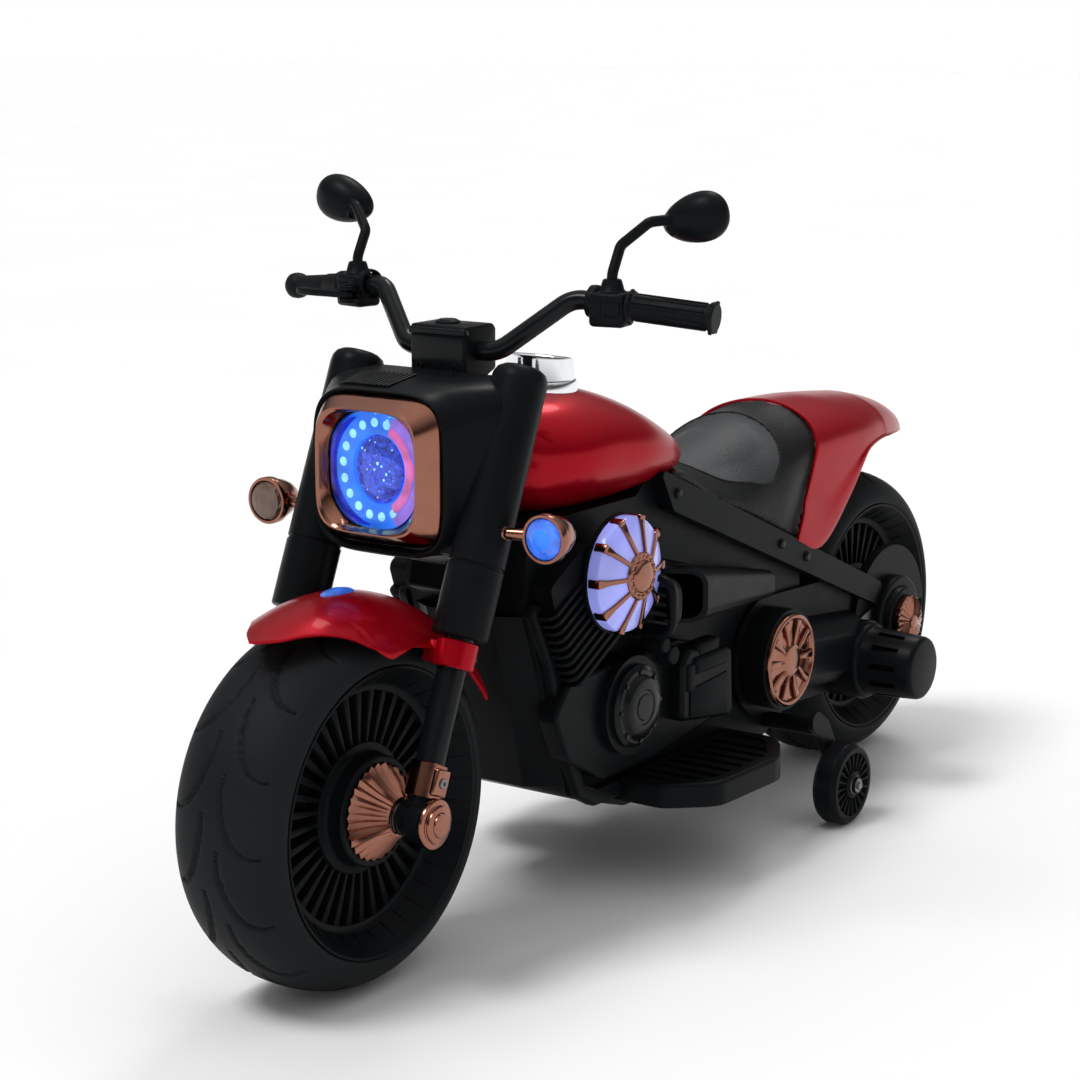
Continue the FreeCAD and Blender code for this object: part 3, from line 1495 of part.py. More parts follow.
def drive_cover():
    """Cover beside the rear wheel, with room for the gearbox behind and the pod's ring in front."""
    plate = stadium(rear_x, 0, plate_radius, drive_front_x, drive_front_rise, plate_radius, body_half,
                    body_half + plate_thickness)
    hump = rod_y(rear_x, 0, body_half, body_half + hump_proud, hump_radius)
    upper = Part.makeBox(400, 200, 200, vec(rear_x - 200, 0, 8))
    boss = rod_y(drive_front_x, drive_front_rise, body_half, boss_face, drive_boss_radius)
    pod_base = rod_y(pod_x, -pod_drop, body_half, boss_face, pod_base_radius)
    tube = rod(vec(pod_x, body_half, -pod_drop + 12), vec(drive_front_x, body_half, drive_front_rise - 4),
               drive_tube_radius)
    half_space = Part.makeBox(900, drive_boss_proud, 400, vec(-700, body_half, -200))
    ring = spun_y([(body_half, 0, 0), (body_half, axle_ring_radius, 0),
                   (drive_face + 6, axle_ring_radius, 3),
                   (drive_face + 6, axle_ring_radius - 10, 0), (drive_face + 12, axle_ring_radius - 12, 2),
                   (drive_face + 12, 0, 0)], rear_x, 0)
    cover = joined([plate, hump.common(upper), boss, pod_base, tube.common(half_space), ring])
    bore = rod_y(rear_x, 0, body_half - 1, drive_face + fit_gap, axle_radius + fit_gap)
    pocket = stadium(rear_x, 0, gearbox_radius + free_gap, pod_x, -pod_drop, gearbox_radius + free_gap,
                     body_half - 1, body_half + gearbox_depth)
    motor_hole = rod_y(pod_x, -pod_drop, body_half, boss_face + 1, motor_radius + free_gap)
    return cover.cut(bore).cut(pocket).cut(motor_hole).cut(seat_rail())


def motor_pod():
    """Hollow pod with slots near its outer end."""
    start = boss_face
    end = boss_face + pod_length
    hollow = motor_radius + free_gap
    body = spun_y([(start, hollow, 0), (start, pod_radius, 0), (start + 8, pod_radius, 1),
                   (start + 10, pod_radius - 3, 0),
                   (end - 8, pod_tip_radius, 0), (end, pod_tip_radius - 6, 5), (end, 0, 0), (end - 6, 0, 0),
                   (end - 6, hollow, 0)], pod_x, -pod_drop)
    cuts = []
    for i in range(pod_slots):
        slot = Part.makeBox(3, 14, 6, vec(pod_x - 1.5, end - 26, -pod_drop + pod_tip_radius - 3))
        cuts.append(turned_y(slot, pod_x, -pod_drop, 360.0 * i / pod_slots))
    return body.cut(Part.makeCompound(cuts))


def drive_motor():
    """Sealed gearbox on the axle with the motor in the pod."""
    box = stadium(rear_x, 0, gearbox_radius, pod_x, -pod_drop, gearbox_radius, body_half,
                  body_half + gearbox_depth)
    can = rod_y(pod_x, -pod_drop, body_half, boss_face + motor_length, motor_radius)
    collar = rod_y(rear_x, 0, body_half - 1, body_half + 40, axle_radius + fit_gap)
    return joined([box, can]).cut(collar)


def drive_disc():
    r = disc_radius
    return spun_y([(boss_face, 0, 0), (boss_face, r, 0), (boss_face + 3, r, 1), (boss_face + 4, r - 6, 0),
                   (boss_face + 2, r - 8, 0), (boss_face + disc_thickness, 12, 4),
                   (boss_face + disc_thickness, 0, 0)],
                  drive_front_x, drive_front_rise)


def rear_axle_cap():
    start = drive_face + 12
    r = cap_radius + 7
    points = []
    for i in range(40):
        reach = r - (i % 2) * 1.6
        angle = math.pi * i / 20
        points.append(vec(rear_x + reach * math.cos(angle), start, reach * math.sin(angle)))
    crown = Part.Face(Part.makePolygon(points + [points[0]])).extrude(vec(0, cap_height - 3, 0))
    button = rod_y(rear_x, 0, start, start + cap_height, r - 8)
    return joined([crown, button])


# Footboards, training wheels and what is inside


def footboard():
    """Rounded tread board against the body's side."""
    top = -board_top_drop
    low = top - board_thickness
    long = board_half_length
    out = body_half + board_reach
    corners = [(long, body_half, 0), (long, body_half + 50, 24), (long - 34, out - 4, 30),
               (-long + 56, out, 40),
               (-long, body_half + 60, 30), (-long, body_half, 0)]
    board = prism_z(corners, low, top)
    board = softened(board, "Z", top, 4.0)
    inset = prism_z([(long - 12, body_half + 10, 4), (long - 12, body_half + 46, 16),
                     (long - 42, out - 16, 20),
                     (-long + 58, out - 13, 30), (-long + 13, body_half + 50, 20),
                     (-long + 13, body_half + 10, 4)],
                    top - 3, top + 1)
    ribs = []
    pitch = (2 * long - 40) / board_rib_count
    for i in range(board_rib_count):
        x = -long + 26 + (i + 0.5) * pitch
        rib = prism_z([(x - 4, body_half + 9, 1), (x + 4, body_half + 9, 1), (x + 4, out, 1),
                       (x - 4, out, 1)],
                      top - 3, top - 0.6)
        ribs.append(rib.common(inset))
    return joined([board.cut(inset)] + ribs)


def arm_z():
    return training_radius - wheel_radius


def training_bracket():
    """Cross tube on the body's side with an arm down to the little wheel's axle."""
    z = arm_z()
    arm_outer = training_inner - free_gap
    arm_inner = arm_outer - arm_thickness
    tube = rod_y(training_x + 12, -56, body_half, arm_outer, arm_half_width - 2)
    arm = prism_y(stroke([(training_x + 36, -40), (training_x + 12, -56), (training_x - 2, -80),
                          (training_x - 2, z - 16)], arm_half_width), arm_inner, arm_outer)
    stub = rod_y(training_x, z, arm_inner, training_inner + training_width + 6, 4.0)
    nut_start = training_inner + training_width + free_gap
    nut = rod_y(training_x, z, nut_start, nut_start + 5, 8.0)
    return joined([tube, arm, stub, nut])


def battery():
    base = -belly_drop + body_wall
    half = battery_width / 2
    body = prism_z([(-battery_length / 2, -half, 3), (battery_length / 2, -half, 3),
                    (battery_length / 2, half, 3),
                    (-battery_length / 2, half, 3)], base, base + battery_height)
    return body


def control_box():
    base = -belly_drop + body_wall + battery_height
    case = Part.makeBox(90, 60, control_height, vec(-45, -30, base))
    plugs = [Part.makeBox(8, 10, 8, vec(45, -26 + 16 * i, base + 4)) for i in range(4)]
    return joined([case] + plugs)


def body_screws():
    """Pan heads on the seat rails and the drive bosses' corners."""
    screws = []
    spots = [(rail_rear_x + 62, rail_z(rail_rear_x + 62) - 13),
             (rail_rear_x + 12, rail_z(rail_rear_x + 12) - 13),
             (rail_front_x - 20, rail_z(rail_front_x - 20) - 14)]
    for x, z in spots:
        head = spun_y([(rail_half, 0, 0), (rail_half, 5, 0), (rail_half + 1.5, 5, 1), (rail_half + 3, 3, 1),
                       (rail_half + 3, 0, 0)], x, z)
        screws.append(head)
    return Part.makeCompound(screws + [mirrored(s) for s in screws])


def build():
    shell = body_half_shell()
    fender = front_fender()
    nodes = {
        "left_body_shell": shell,
        "right_body_shell": mirrored(shell),
        "front_shroud": front_shroud(),
        "head_tube": Part.makeCompound([head_tube(), steering_bushes()]),
        "fuel_tank": fuel_tank(),
        "tank_cap": tank_cap(),
        "seat_pad": seat_pad(),
        "rear_fender": rear_fender(),
        "engine_blocks": both(engine_block()),
        "crankcases": both(crankcase()),
        "crankcase_covers": both(crankcase_cover()),
        "air_filter_lenses": both(filter_lens()),
        "air_filter_grilles": both(filter_grille()),
        "intake_scoops": both(intake_scoop()),
        "drive_covers": both(drive_cover()),
        "drive_discs": both(drive_disc()),
        "motor_pods": both(motor_pod()),
        "drive_motors": both(drive_motor()),
        "rear_axle": rear_axle(),
        "rear_axle_caps": both(rear_axle_cap()),
        "footboards": both(footboard()),
        "training_brackets": both(training_bracket()),
        "battery": battery(),
        "control_box": control_box(),
        "body_screws": body_screws(),
        "steering_stem": steering_stem(),
        "upper_yoke": upper_yoke(),
        "fork_upper_tubes": both(fork_upper()),
        "fork_lower_tubes": both(fork_lower()),
        "fork_clamps": both(fork_clamp()),
        "front_axle": front_axle(),
        "headlight_housing": headlight_housing(),
        "headlight_bezel": headlight_bezel(),
        "headlight_reflector": headlight_reflector(),
        "headlight_ring": headlight_led_ring(),
        "headlight_lens": headlight_lens(),
        "handlebar": handlebar(),
        "bar_cover": bar_cover(),
        "switch_boxes": Part.makeCompound([switch_box(1), right_switch_box()]),
        "left_grip": left_grip(),
        "signal_bodies": both(signal_body()),
        "signal_lenses": both(signal_lens()),
        "front_fender": fender,
        "fender_lamp": fender_lamp(fender),
        "throttle_grip": throttle_grip(),
        "brake_lever": brake_lever(),
        "left_mirror": mirror(1),
        "left_mirror_glass": mirror_glass_piece(1),
        "right_mirror": mirror(-1),
        "right_mirror_glass": mirror_glass_piece(-1),
        "front_tyre": tyre(front_x),
        "front_rim": rim(front_x),
        "front_hub_cones": both(hub_cone(front_x)),
        "rear_tyre": tyre(rear_x),
        "rear_rim": rim(rear_x),
        "left_training_wheel": training_wheel(training_x, arm_z()),
        "right_training_wheel": mirrored(training_wheel(training_x, arm_z())),
        "power_button": power_button(),
        "direction_switch": direction_switch(),
        "horn_button": horn_button(),
    }
    return nodes


os.makedirs("parts", exist_ok=True)
for name, shape in build().items():
    shape.translate(vec(0, 0, wheel_radius))
    shape.exportStep("parts/" + name + ".step")
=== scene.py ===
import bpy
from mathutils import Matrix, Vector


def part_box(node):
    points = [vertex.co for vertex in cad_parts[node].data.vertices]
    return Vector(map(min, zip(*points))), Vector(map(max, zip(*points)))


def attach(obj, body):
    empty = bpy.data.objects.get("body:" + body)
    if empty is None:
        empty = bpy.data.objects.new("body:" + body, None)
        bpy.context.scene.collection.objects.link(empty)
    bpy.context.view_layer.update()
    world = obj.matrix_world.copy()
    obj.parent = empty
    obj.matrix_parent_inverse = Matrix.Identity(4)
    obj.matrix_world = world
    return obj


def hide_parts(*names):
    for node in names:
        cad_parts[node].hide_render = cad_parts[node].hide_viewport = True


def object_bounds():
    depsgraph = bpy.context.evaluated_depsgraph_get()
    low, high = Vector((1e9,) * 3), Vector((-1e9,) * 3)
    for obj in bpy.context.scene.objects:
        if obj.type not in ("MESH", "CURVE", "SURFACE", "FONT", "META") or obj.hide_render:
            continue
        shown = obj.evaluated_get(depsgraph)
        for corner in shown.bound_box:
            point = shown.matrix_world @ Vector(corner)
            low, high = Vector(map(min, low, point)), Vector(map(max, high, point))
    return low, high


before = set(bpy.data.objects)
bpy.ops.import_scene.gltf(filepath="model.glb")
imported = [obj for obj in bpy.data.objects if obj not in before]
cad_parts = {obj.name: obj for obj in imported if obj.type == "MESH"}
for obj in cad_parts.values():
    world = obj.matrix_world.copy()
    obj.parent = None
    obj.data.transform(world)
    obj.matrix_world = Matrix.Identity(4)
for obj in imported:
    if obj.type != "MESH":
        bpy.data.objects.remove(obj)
cad_box = [list(corner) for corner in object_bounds()]

import math
from types import SimpleNamespace

import bmesh
import bpy
import numpy as np
from mathutils import Matrix, Vector
from mathutils.bvhtree import BVHTree

bl_info = {
    "name": "Kids electric motorbike",
    "version": (1, 0, 0),
    "blender": (4, 5, 0),
    "location": "View3D > Sidebar > Motorbike",
    "description": "Dresses the packed frame of a kids electric motorbike",
    "category": "Object",
}

MM = 0.001
QUARTER = math.pi / 2
ROUND = 2 * math.pi
MERGE = 1e-6
FLIP = Vector((1, -1, 1))

# Counts, and lengths in millimetres, that several shapes share
HOOKS = 15
VANES = 36
SWITCH_ALONG = 34.6
LITTLE_WHEEL = (-186, 0, 40)
MOUTH_AHEAD = 143.0
MOUTH_TOP = 245.0
MOUTH_LEAN = 65 / 133
MOUTH_SHARE = 1.06
ARCH_SHARE = 0.62
PANEL_FLOOR = 150.0
SWELL_LIMIT = 4.0
SCOOP_DEPTH = 6.5
SCOOP_EASE = 20.0
TUCK_DEPTH = 10.0


# Sizes and colours


def distance(name, default, description):
    return bpy.props.FloatProperty(name=name, description=description, default=default, min=0.0,
                                   precision=4, unit='LENGTH', subtype='DISTANCE')


def paint(name, default, description):
    return bpy.props.FloatVectorProperty(name=name, description=description, default=default,
                                         size=3, min=0.0, max=1.0, subtype='COLOR')


class BikeSizes(bpy.types.PropertyGroup):
    """Sizes that the pieces share."""
    wheel_base: distance("Wheel base", 0.822, "Distance between the two axles")
    wheel_radius: distance("Wheel radius", 0.150, "Radius of the tyre's crown")
    tyre_half: distance("Tyre half width", 0.053, "Half of the tyre's width")
    lip_radius: distance("Lip radius", 0.120, "Radius where the tyre's side meets the rim")
    groove_depth: distance("Groove depth", 0.0024, "Depth of the tread's grooves")
    rake: bpy.props.FloatProperty(name="Rake", description="Lean of the fork from upright",
                                  default=math.radians(23.0), subtype='ANGLE', unit='ROTATION')
    fork_spread: distance("Fork spread", 0.083, "Distance of a fork leg from the middle")
    lamp_front: distance("Lamp front", 0.367, "Forward reach of the headlight's bezel")
    lamp_middle: distance("Lamp middle", 0.4075, "Height of the headlight's middle")
    lamp_half_width: distance("Lamp half width", 0.068, "Half of the headlight's width")
    lamp_half_height: distance("Lamp half height", 0.0665, "Half of the headlight's height")
    bezel_lift: distance("Bezel lift", 0.0035, "Height of the bezel's middle over the hood's")
    sleeve_radius: distance("Sleeve radius", 0.023, "Radius of the upper fork sleeves")
    bar_radius: distance("Bar radius", 0.008, "Radius of the handlebar tube")
    fender_radius: distance("Front fender radius", 0.171, "Radius of the front fender's crown")
    fender_half: distance("Front fender half width", 0.066, "Half of the front fender's width")
    tank_half: distance("Tank half width", 0.083, "Half of the tank's width")
    tail_half: distance("Rear fender half width", 0.072, "Half of the rear fender's width")
    filter_radius: distance("Filter radius", 0.051, "Radius of the round air filter")


class BikeColours(bpy.types.PropertyGroup):
    """Colours of the finishes."""
    candy_red: paint("Candy red", (0.37, 0.0018, 0.0095), "Lacquer of the tank and the fenders")
    plastic: paint("Black plastic", (0.0050, 0.0060, 0.0069), "Moulded black plastic")
    tyre: paint("Tyre", (0.0088, 0.0101, 0.0112), "Moulded tyre")
    copper: paint("Rose copper", (0.30, 0.130, 0.090), "Plated copper trim")
    chrome: paint("Bright chrome", (0.86, 0.87, 0.89), "Plated tank cap")
    engine: paint("Engine grey", (0.0050, 0.0061, 0.0070), "Mock engine castings")
    leather: paint("Seat leather", (0.0095, 0.0103, 0.0112), "Outer seat cover")
    pad: paint("Seat panel", (0.040, 0.0422, 0.0446), "Paler inner panel of the seat")
    ring_blue: paint("Ring blue", (0.010, 0.20, 1.0), "Lit ring of the headlight")
    ring_pink: paint("Ring pink", (0.95, 0.20, 0.62), "Lit arc of the headlight")
    panel_blue: paint("Panel blue", (0.30, 0.33, 0.95), "Lit panels of the air filter")
    floor: paint("Floor", (0.95, 0.95, 0.95), "Studio floor")


def sizes_of(context):
    """The sizes in millimetres, and the rake in radians."""
    group = context.scene.bike_sizes
    found = SimpleNamespace()
    for name in BikeSizes.__annotations__:
        value = getattr(group, name)
        setattr(found, name, value if name == "rake" else value / MM)
    found.front_x = found.wheel_base / 2
    found.rear_x = -found.wheel_base / 2
    found.axle = found.wheel_radius
    return found


# Places


def shift(x, y, z):
    return Matrix.Translation((x * MM, y * MM, z * MM))


def facing_left(x, y, z):
    """Place whose own Z axis points to the bike's left."""
    return shift(x, y, z) @ Matrix.Rotation(-QUARTER, 4, 'X')


def facing_front(x, y, z):
    """Place whose own Z axis points forward."""
    return shift(x, y, z) @ Matrix.Rotation(QUARTER, 4, 'Y')


def across(x, z, y=0.0):
    """Place of a cross section: own X to the left, own Y up, own Z forward."""
    turn = Matrix(((0, 0, 1, 0), (1, 0, 0, 0), (0, 1, 0, 0), (0, 0, 0, 1)))
    return shift(x, y, z) @ turn


def pointing(start, direction):
    """Place at start whose own Z axis follows a direction."""
    turn = Vector(direction).to_track_quat('Z', 'Y').to_matrix().to_4x4()
    return shift(*start) @ turn


def in_fork(s):
    """Place on the front axle whose own Z axis runs up along the fork."""
    return shift(s.front_x, 0, s.axle) @ Matrix.Rotation(-s.rake, 4, 'Y')


# Shapes


def fresh(bm, marked):
    return [v for v in bm.verts if v not in marked]


def edges_at(verts):
    """Edges at the vertices, each once and in the same order in every run."""
    return list(dict.fromkeys(e for v in verts for e in v.link_edges))


def verts_of(edges):
    return list(dict.fromkeys(v for e in edges for v in e.verts))


def lathe(bm, profile, place, steps=64, turn=ROUND):
    """Spin (radius, height) points about the place's own Z axis."""
    marked = set(bm.verts)
    points = [bm.verts.new((r * MM, 0.0, h * MM)) for r, h in profile]
    edges = [bm.edges.new(pair) for pair in zip(points, points[1:])]
    bmesh.ops.spin(bm, geom=points + edges, cent=(0, 0, 0), axis=(0, 0, 1), angle=turn, steps=steps,
                   use_merge=turn == ROUND)
    bmesh.ops.remove_doubles(bm, verts=fresh(bm, marked), dist=MERGE)
    made = fresh(bm, marked)
    bmesh.ops.transform(bm, matrix=place, verts=made)
    return made


def sector(bm, profile, place, start, turn, steps=12):
    """Closed (radius, height) outline swept through part of a turn, with its ends filled."""
    marked = set(bm.verts)
    made = lathe(bm, profile + profile[:1], Matrix.Rotation(math.radians(start), 4, 'Z'), steps,
                 math.radians(turn))
    edges = [e for e in edges_at(made) if e.is_boundary]
    bmesh.ops.holes_fill(bm, edges=edges, sides=0)
    made = fresh(bm, marked)
    bmesh.ops.transform(bm, matrix=place, verts=made)
    return made


def ring(bm, place, wide, high, power=2.0, count=48):
    """Closed loop with the given half sizes; a higher power squares its corners."""
    made = bmesh.ops.create_circle(bm, cap_ends=False, radius=1.0, segments=count)["verts"]
    for v in made:
        c, d = v.co.x, v.co.y
        v.co.x = wide * MM * math.copysign(abs(c) ** (2 / power), c)
        v.co.y = high * MM * math.copysign(abs(d) ** (2 / power), d)
    bmesh.ops.transform(bm, matrix=place, verts=made)
    return edges_at(made)


def loft(bm, rings, caps=(True, True)):
    """Skin from ring to ring."""
    for first, second in zip(rings, rings[1:]):
        bmesh.ops.bridge_loops(bm, edges=first + second)
    for wanted, edges in zip(caps, (rings[0], rings[-1])):
        if wanted:
            bmesh.ops.edgeloop_fill(bm, edges=edges)


def rounded(bm, verts, radius, segments=2):
    edges = edges_at(verts)
    bmesh.ops.bevel(bm, geom=edges, offset=radius * MM, segments=segments, profile=0.5,
                    affect='EDGES', material=-1)


def block(bm, low, high, radius=0.0, segments=2, place=None):
    """Box between two corners with its edges rounded."""
    marked = set(bm.verts)
    made = bmesh.ops.create_cube(bm, size=1.0)["verts"]
    middle = [(a + b) / 2 for a, b in zip(low, high)]
    size = [(b - a) * MM for a, b in zip(low, high)]
    bmesh.ops.transform(bm, matrix=shift(*middle) @ Matrix.Diagonal((*size, 1)), verts=made)
    if radius:
        rounded(bm, made, radius, segments)
    made = fresh(bm, marked)
    if place:
        bmesh.ops.transform(bm, matrix=place, verts=made)
    return made


def slab(bm, outline, depth, place, radius=0.0, segments=2):
    """Flat outline in the place's own XY plane, pushed along its own Z."""
    marked = set(bm.verts)
    face = bm.faces.new([bm.verts.new((x * MM, y * MM, 0.0)) for x, y in outline])
    out = bmesh.ops.extrude_face_region(bm, geom=[face])["geom"]
    moved = [g for g in out if isinstance(g, bmesh.types.BMVert)]
    bmesh.ops.translate(bm, vec=(0, 0, depth * MM), verts=moved)
    if radius:
        rounded(bm, fresh(bm, marked), radius, segments)
    made = fresh(bm, marked)
    bmesh.ops.transform(bm, matrix=place, verts=made)
    return made


def ball(bm, place, radii, segments=32, rings=16):
    made = bmesh.ops.create_uvsphere(bm, u_segments=segments, v_segments=rings, radius=1.0)["verts"]
    bmesh.ops.transform(bm, matrix=place @ Matrix.Diagonal((*[r * MM for r in radii], 1)),
                        verts=made)
    return made


def repeat(bm, marked, count, place=None):
    """Copies what is new since marked evenly round the Z axis, then moves it all to its place."""
    verts = fresh(bm, marked)
    edges = edges_at(verts)
    faces = list(dict.fromkeys(f for v in verts for f in v.link_faces))
    bmesh.ops.spin(bm, geom=verts + edges + faces, cent=(0, 0, 0), axis=(0, 0, 1),
                   angle=ROUND * (count - 1) / count, steps=count - 1, use_duplicate=True)
    if place:
        bmesh.ops.transform(bm, matrix=place, verts=fresh(bm, marked))


def mirrored(bm):
    """Adds the other side across the middle plane."""
    bmesh.ops.mirror(bm, geom=bm.verts[:] + bm.edges[:] + bm.faces[:], matrix=Matrix(),
                     merge_dist=MERGE, axis='Y')


def on_axles(bm, s):
    """Adds the other side, then lifts both to the height of the axles."""
    mirrored(bm)
    bmesh.ops.transform(bm, matrix=shift(0, 0, s.axle), verts=bm.verts[:])


def nested(bm, x, z, rows, count):
    """Rings across the bike, from rows of (distance behind x, half width, half height, power)."""
    return [ring(bm, across(x - back, z), wide, high, power, count)
            for back, wide, high, power in rows]


def tube(bm, points, radius, sides=4):
    """Smooth round tube that follows points."""
    curve = bpy.data.curves.new("tube_path", 'CURVE')
    curve.dimensions = '3D'
    curve.bevel_depth = radius * MM
    curve.bevel_resolution = sides
    curve.use_fill_caps = True
    curve.resolution_u = 8
    line = curve.splines.new('NURBS')
    line.points.add(len(points) - 1)
    for point, co in zip(line.points, points):
        point.co = (co[0] * MM, co[1] * MM, co[2] * MM, 1.0)
    line.order_u = 3
    line.use_endpoint_u = True
    holder = bpy.data.objects.new("tube_path", curve)
    bpy.context.scene.collection.objects.link(holder)
    bpy.context.view_layer.update()
    held = bpy.context.evaluated_depsgraph_get()
    mesh = bpy.data.meshes.new_from_object(holder.evaluated_get(held))
    bm.from_mesh(mesh)
    bpy.data.objects.remove(holder)
    bpy.data.curves.remove(curve)
    bpy.data.meshes.remove(mesh)


def cornered(points, near):
    """Adds a point on both sides of each inner corner, so that a smooth line turns close to it."""
    points = [Vector(p) for p in points]
    found = [points[0]]
    for before, here, after in zip(points, points[1:], points[2:]):
        found += [here + (before - here).normalized() * near, here,
                  here + (after - here).normalized() * near]
    return found + [points[-1]]


def between(rows, count):
    """Rows of numbers with more rows between them, on smooth curves through the given ones."""
    rows = np.array(rows, dtype=float)
    padded = np.vstack([2 * rows[0] - rows[1], rows, 2 * rows[-1] - rows[-2]])
    found = []
    for i in range(len(rows) - 1):
        a, b, c, d = padded[i:i + 4]
        for t in np.arange(count) / count:
            bow = t * (2 * a - 5 * b + 4 * c - d + t * (3 * (b - c) + d - a))
            found.append(b + 0.5 * t * (c - a + bow))
    found.append(rows[-1])
    return np.array(found)


def sample(rows, share):
    """The row at this share of the way through rows."""
    row = share * (len(rows) - 1)
    i = min(int(row), len(rows) - 2)
    return rows[i] + (rows[i + 1] - rows[i]) * (row - i)


def piece(name, bm, finish, body, nodes=(), crease=38.0, wall=0.0, soft=0, edge=0.0):
    """Closes a bmesh into a named piece that rides on a body."""
    bmesh.ops.remove_doubles(bm, verts=bm.verts[:], dist=MERGE)
    bmesh.ops.recalc_face_normals(bm, faces=bm.faces[:])
    mesh = bpy.data.meshes.new(name)
    bm.to_mesh(mesh)
    bm.free()
    mesh.materials.append(bpy.data.materials[finish])
    mesh.shade_smooth()
    if crease < 180:
        mesh.set_sharp_from_angle(angle=math.radians(crease))
    made = bpy.data.objects.new(name, mesh)
    bpy.context.scene.collection.objects.link(made)
    if wall:
        skin = made.modifiers.new("wall", 'SOLIDIFY')
        skin.thickness = wall * MM
        skin.offset = -1.0
    if edge:
        rim = made.modifiers.new("edge", 'BEVEL')
        rim.width = edge * MM
        rim.segments = 2
        rim.limit_method = 'ANGLE'
        rim.angle_limit = math.radians(40)
    if soft:
        smooth = made.modifiers.new("soft", 'SUBSURF')
        smooth.levels = soft
        smooth.render_levels = soft
    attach(made, body)
    if nodes:
        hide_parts(*nodes)
    return made


# Finishes


def finish(name, colour, rough, metal=0.0, specular=0.5, grain=None, patch=None, coat=0.0,
           glow=None, cells=None, **sockets):
    """Principled material with its own colour drift, gloss drift and surface grain."""
    material = bpy.data.materials.new(name)
    material.use_nodes = True
    tree = material.node_tree
    shader = tree.nodes["Principled BSDF"]
    shader.inputs["Metallic"].default_value = metal
    shader.inputs["Specular IOR Level"].default_value = specular
    shader.inputs["Roughness"].default_value = rough
    shader.inputs["Base Color"].default_value = (*colour, 1.0)
    if coat:
        shader.inputs["Coat Weight"].default_value = coat
        shader.inputs["Coat Roughness"].default_value = 0.04
    for label, value in sockets.items():
        shader.inputs[label.replace("_", " ")].default_value = value
    place = tree.nodes.new("ShaderNodeTexCoord").outputs["Object"]

    def noise(scale, detail=3.0):
        node = tree.nodes.new("ShaderNodeTexNoise")
        node.inputs["Scale"].default_value = scale
        node.inputs["Detail"].default_value = detail
        tree.links.new(place, node.inputs["Vector"])
        return node.outputs["Fac"]

    def spread(value, low, high):
        node = tree.nodes.new("ShaderNodeMapRange")
        node.inputs["From Min"].default_value = 0.3
        node.inputs["From Max"].default_value = 0.7
        node.inputs["To Min"].default_value = low
        node.inputs["To Max"].default_value = high
        tree.links.new(value, node.inputs["Value"])
        return node.outputs["Result"]

    if patch:
        scale, drift, gloss = patch
        cloud = noise(scale, 4.0)
        mix = tree.nodes.new("ShaderNodeMix")
        mix.data_type = 'RGBA'
        mix.inputs["A"].default_value = (*[c * (1 - drift) for c in colour], 1.0)
        mix.inputs["B"].default_value = (*[min(1.0, c * (1 + drift)) for c in colour], 1.0)
        tree.links.new(spread(cloud, 0.0, 1.0), mix.inputs["Factor"])
        tree.links.new(mix.outputs["Result"], shader.inputs["Base Color"])
        tree.links.new(spread(cloud, max(0.02, rough - gloss), rough + gloss),
                       shader.inputs["Roughness"])
    height = None
    if grain:
        scale, strength, deep = grain
        height = noise(scale, 2.0)
    if cells:
        scale, strength, deep = cells
        node = tree.nodes.new("ShaderNodeTexVoronoi")
        node.inputs["Scale"].default_value = scale
        tree.links.new(place, node.inputs["Vector"])
        height = node.outputs["Distance"]
    if height:
        bump = tree.nodes.new("ShaderNodeBump")
        bump.inputs["Strength"].default_value = strength
        bump.inputs["Distance"].default_value = deep
        tree.links.new(height, bump.inputs["Height"])
        tree.links.new(bump.outputs["Normal"], shader.inputs["Normal"])
    if glow:
        tint, power, scale, dip = glow
        shader.inputs["Emission Color"].default_value = (*tint, 1.0)
        tree.links.new(spread(noise(scale, 1.0), power * (1 - dip), power),
                       shader.inputs["Emission Strength"])
    return material


